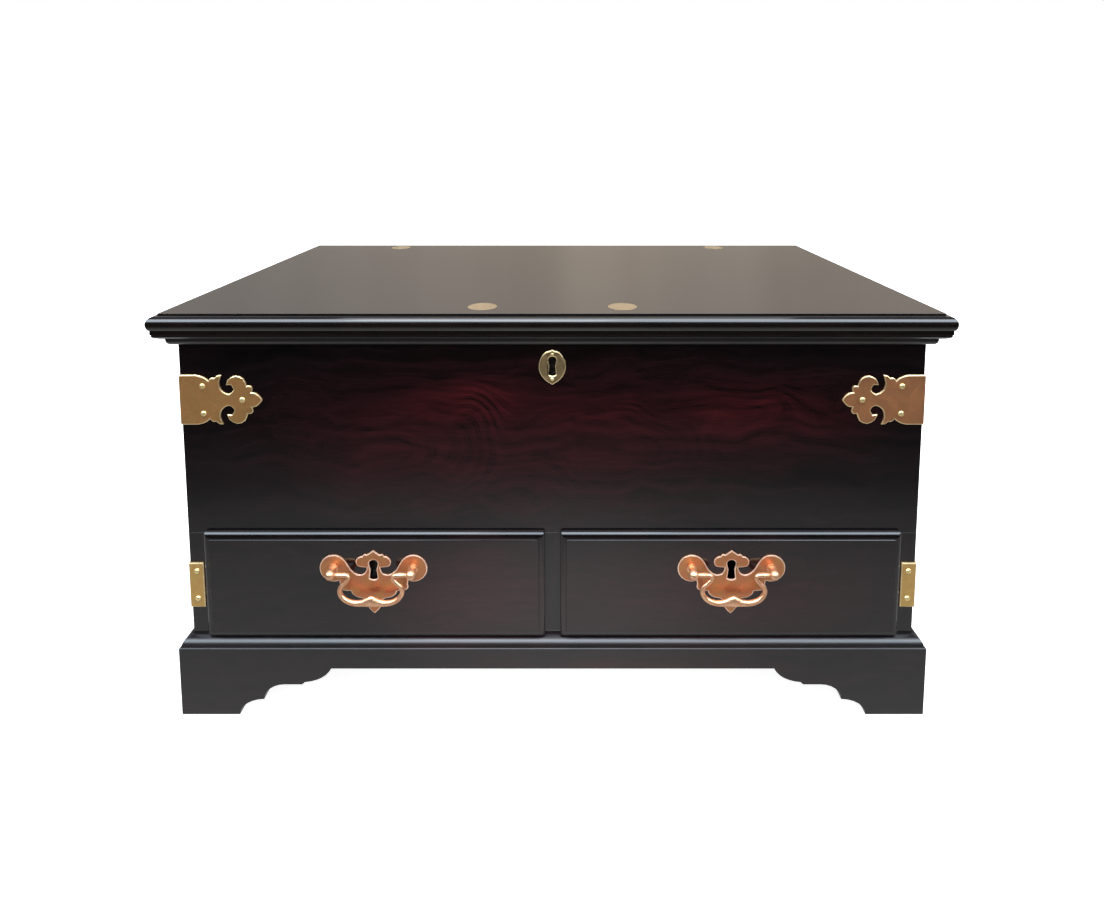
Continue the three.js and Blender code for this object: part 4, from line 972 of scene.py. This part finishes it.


# What polished surfaces mirror of the floor is painted light: its glow by distance from the chest's
# middle, as a share of the reach, with the distance across the picture counting half, painted shade
# under the chest, and a painted pool of light before the chest
FLOOR_HALF = 30  # half the floor's side
FLOOR_REACH = 1.5
FLOOR_SQUEEZE = (0.5, 1, 1)
FLOOR_PAINTED_LIGHT = (
    (0.12, 0.05),
    (0.2, 0.76),
    (0.3, 0.66),
    (0.44, 0.57),
    (0.54, 0.4),
    (0.66, 0.13),
    (0.9, 0.015),
)
FLOOR_PAINTED_POOL = (((0.02, -0.52, 0), (0.42, 0.42, 1), 0.34),)
FLOOR_WHITE = 0.88  # what the camera sees of the floor beside the lamps' light on it


def make_floor(stage):
    """A pale floor that looks white to the camera, with a soft shadow. In reflections it glows with
    painted light, though it is no lamp: a painted pool of light before the chest that dims with
    distance, and painted shade under the chest."""
    mesh = bmesh.new()
    bmesh.ops.create_grid(mesh, x_segments=1, y_segments=1, size=FLOOR_HALF)
    data = bpy.data.meshes.new("floor")
    mesh.to_mesh(data)
    mesh.free()
    floor = bpy.data.objects.new("floor", data)
    bpy.context.scene.collection.objects.link(floor)
    material = bpy.data.materials.new("painted_studio_floor")
    tree = cleared_tree(material)
    place = add_node(tree, "ShaderNodeTexCoord").outputs["Object"]
    squeezed = calculate_vector(tree, "MULTIPLY", place, FLOOR_SQUEEZE)
    distance = calculate_vector(tree, "LENGTH", squeezed)
    reach = calculate(tree, "DIVIDE", distance, FLOOR_REACH)
    # This glow is painted light and shade, shown in reflections in place of the lit floor
    painted_glow = colour_ramp(tree, reach, [(share, grey(value)) for share, value in FLOOR_PAINTED_LIGHT])
    lit = calculate_vector(tree, "ADD", painted_glow, soft_spots(tree, place, FLOOR_PAINTED_POOL))
    room = add_node(tree, "ShaderNodeEmission", {}, {"Color": lit, "Strength": 1}).outputs[0]
    paint = add_node(tree, "ShaderNodeBsdfDiffuse", {}, {"Color": (*stage.floor, 1)}).outputs[0]
    glowing = {"Color": WHITE, "Strength": FLOOR_WHITE}
    white = add_node(tree, "ShaderNodeEmission", {}, glowing).outputs[0]
    shown = add_node(tree, "ShaderNodeAddShader", {}, {0: paint, 1: white}).outputs[0]
    to_camera = add_node(tree, "ShaderNodeLightPath").outputs["Is Camera Ray"]
    mixed = {0: to_camera, 1: room, 2: shown}
    surface = add_node(tree, "ShaderNodeMixShader", {}, mixed).outputs[0]
    add_node(tree, "ShaderNodeOutputMaterial", {}, {"Surface": surface})
    data.materials.append(material)


# The room that polished surfaces mirror, by height from straight down, 0, to straight up, 1
FRONT_ROOM = ((0.3, grey(0.3)), (0.42, grey(0.02)), (0.62, grey(0.04)), (0.8, (0.1, 0.12, 0.14)))
BACK_ROOM = (
    (0.44, grey(0.2)),
    (0.5, (0.42, 0.36, 0.31)),
    (0.585, (0.5, 0.44, 0.38)),
    (0.65, (0.74, 0.67, 0.6)),
    (0.7, grey(0.35)),
    (0.76, (0.12, 0.13, 0.15)),
)

# The tint of the room behind, from left to right, and how much its soft bands dim or lift it
SIDE_TINTS = (
    (0.1, (0.76, 0.78, 0.81)),
    (0.5, (1.07, 1.04, 1.0)),
    (0.6, (1.0, 0.96, 0.92)),
    (0.7, (0.99, 0.98, 0.96)),
    (0.8, (0.84, 0.82, 0.8)),
    (0.9, (0.92, 0.91, 0.9)),
)
BANDS = 6  # bands in each unit of direction
DIMMEST_BAND, BRIGHTEST_BAND = 0.88, 1.14

# The skylight, by the share of a half turn up from the front and over to the back, and its strength
SKY_TONE = (0.78, 0.9, 1.02)
SKYLIGHT = ((0.15, grey(0)), (0.23, SKY_TONE), (0.39, SKY_TONE), (0.46, grey(0)))
SKY_STRENGTH = (9, 9, 9)

# The even light of the room on surfaces that don't mirror it, by the same height as the room
EVEN_LIGHT = ((0.5, grey(0.4)), (0.95, (1.5, 1.56, 1.64)))


def make_world():
    """White to the camera. Surfaces are lit by an even grey room and a bluish skylight above and
    before the chest. Polished ones also mirror the room: dim in front, warmer behind, with soft
    upright bands."""
    world = bpy.data.worlds.new("studio")
    bpy.context.scene.world = world
    tree = cleared_tree(world)
    direction = add_node(tree, "ShaderNodeTexCoord").outputs["Generated"]
    axes = add_node(tree, "ShaderNodeSeparateXYZ", {}, {0: direction}).outputs
    height = remap(tree, axes["Z"], -1, 1)
    front = colour_ramp(tree, height, FRONT_ROOM)
    back = colour_ramp(tree, height, BACK_ROOM)
    bands = add_node(
        tree,
        "ShaderNodeTexNoise",
        {"noise_dimensions": "1D"},
        {"W": axes["X"], "Scale": BANDS, "Detail": 2},
    ).outputs[0]
    band_tone = remap(tree, bands, 0.3, 0.7, DIMMEST_BAND, BRIGHTEST_BAND)
    side_tint = colour_ramp(tree, remap(tree, axes["X"], -0.5, 0.5), SIDE_TINTS)
    back = calculate_vector(tree, "MULTIPLY", back, band_tone)
    back = calculate_vector(tree, "MULTIPLY", back, side_tint)
    behind = remap(tree, axes["Y"], -0.15, 0.35, fade="SMOOTHSTEP")
    room = mix_colours(tree, behind, front, back)

    # The skylight: a band along the chest, from 30 degrees up in front to straight overhead.
    to_front = calculate(tree, "MULTIPLY", axes["Y"], -1)
    round_axis = calculate(tree, "ARCTAN2", axes["Z"], to_front)
    sky = colour_ramp(tree, calculate(tree, "DIVIDE", round_axis, math.pi), SKYLIGHT)
    high = remap(tree, axes["Z"], 0.25, 0.4, fade="SMOOTHSTEP")
    sky = calculate_vector(tree, "MULTIPLY", sky, high)
    mirrored = calculate_vector(tree, "MULTIPLY_ADD", sky, SKY_STRENGTH, room)
    even = colour_ramp(tree, height, EVEN_LIGHT)
    rays = add_node(tree, "ShaderNodeLightPath").outputs
    colour = mix_colours(tree, rays["Is Glossy Ray"], even, mirrored)
    colour = mix_colours(tree, rays["Is Camera Ray"], colour, WHITE)
    lit = add_node(tree, "ShaderNodeBackground", {}, {"Color": colour, "Strength": 1}).outputs[0]
    add_node(tree, "ShaderNodeOutputWorld", {}, {"Surface": lit})


# Each lamp's name, place, width, height, watts and colour. They look at the chest's middle.
LAMPS_LOOK_AT = Vector((0, 0, 0.3))
LAMPS = (
    ("overhead_softbox", (0, -0.4, 2.6), 2.2, 1.4, 26, "#fbfdff"),
    ("front_softbox", (-0.5, -1.7, 2.6), 1.6, 1.0, 22, "#f4f8ff"),
    ("right_fill", (2.6, -0.6, 1.6), 1.2, 1.2, 12, "#fffaf2"),
)


def make_lamps():
    """Soft area lamps, as a studio has them."""
    for name, place, width, height, watts, hex_colour in LAMPS:
        light = bpy.data.lights.new(name, "AREA")
        light.shape = "RECTANGLE"
        light.size = width
        light.size_y = height
        light.energy = watts
        light.color = linear(hex_colour)
        lamp = bpy.data.objects.new(name, light)
        lamp.location = place
        aim = LAMPS_LOOK_AT - Vector(place)
        lamp.rotation_euler = aim.to_track_quat("-Z", "Y").to_euler()
        bpy.context.scene.collection.objects.link(lamp)


SENSOR_WIDTH_MM = 36
LENS_SHIFT = (-0.0128, -0.22)  # the photograph is cropped off its lens's middle
NEAREST_SEEN = 10 * MM


def make_camera(stage):
    """The photograph's viewpoint: above the lid, a little to the right, looking slightly down."""
    data = bpy.data.cameras.new("camera")
    data.sensor_fit = "HORIZONTAL"
    data.sensor_width = SENSOR_WIDTH_MM
    data.lens = stage.focal_length_mm
    data.shift_x, data.shift_y = LENS_SHIFT
    data.clip_start = NEAREST_SEEN
    camera = bpy.data.objects.new("camera", data)
    camera.location = (stage.camera_side, FRONT_LOW.y - stage.camera_distance, stage.camera_height)
    camera.rotation_euler = (math.pi / 2 - stage.camera_pitch, 0, 0)
    bpy.context.scene.collection.objects.link(camera)
    bpy.context.scene.camera = camera


class CHEST_OT_stage(bpy.types.Operator):
    """Lay the floor, light it and place the camera"""

    bl_idname = "chest.stage"
    bl_label = "Stage"
    bl_options = {"REGISTER", "UNDO"}

    def execute(self, context):
        stage = context.scene.chest_stage
        make_floor(stage)
        make_world()
        make_lamps()
        make_camera(stage)
        context.scene.view_settings.view_transform = "Standard"
        return {"FINISHED"}


STEPS = (
    CHEST_OT_carcase,
    CHEST_OT_lid,
    CHEST_OT_drawers,
    CHEST_OT_straps,
    CHEST_OT_escutcheon,
    CHEST_OT_pulls,
    CHEST_OT_ironwork,
    CHEST_OT_stage,
)
SETTINGS = (
    (WoodSettings, "chest_wood"),
    (BrassSettings, "chest_brass"),
    (StageSettings, "chest_stage"),
)


class CHEST_PT_panel(bpy.types.Panel):
    """The chest's settings and steps"""

    bl_idname = "CHEST_PT_panel"
    bl_label = "Mule chest"
    bl_space_type = "VIEW_3D"
    bl_region_type = "UI"
    bl_category = "Mule chest"

    def draw(self, context):
        for _, place in SETTINGS:
            group = getattr(context.scene, place)
            column = self.layout.column(align=True)
            for name in group.__annotations__:
                column.prop(group, name)
        for step in STEPS:
            self.layout.operator(step.bl_idname)


def register():
    for group, name in SETTINGS:
        bpy.utils.register_class(group)
        setattr(bpy.types.Scene, name, bpy.props.PointerProperty(type=group))
    for step in STEPS:
        bpy.utils.register_class(step)
    bpy.utils.register_class(CHEST_PT_panel)


def unregister():
    bpy.utils.unregister_class(CHEST_PT_panel)
    for step in reversed(STEPS):
        bpy.utils.unregister_class(step)
    for group, name in reversed(SETTINGS):
        delattr(bpy.types.Scene, name)
        bpy.utils.unregister_class(group)


def main():
    register()
    for step in STEPS:
        section, name = step.bl_idname.split(".")
        getattr(getattr(bpy.ops, section), name)()


if __name__ == "__main__":
    main()
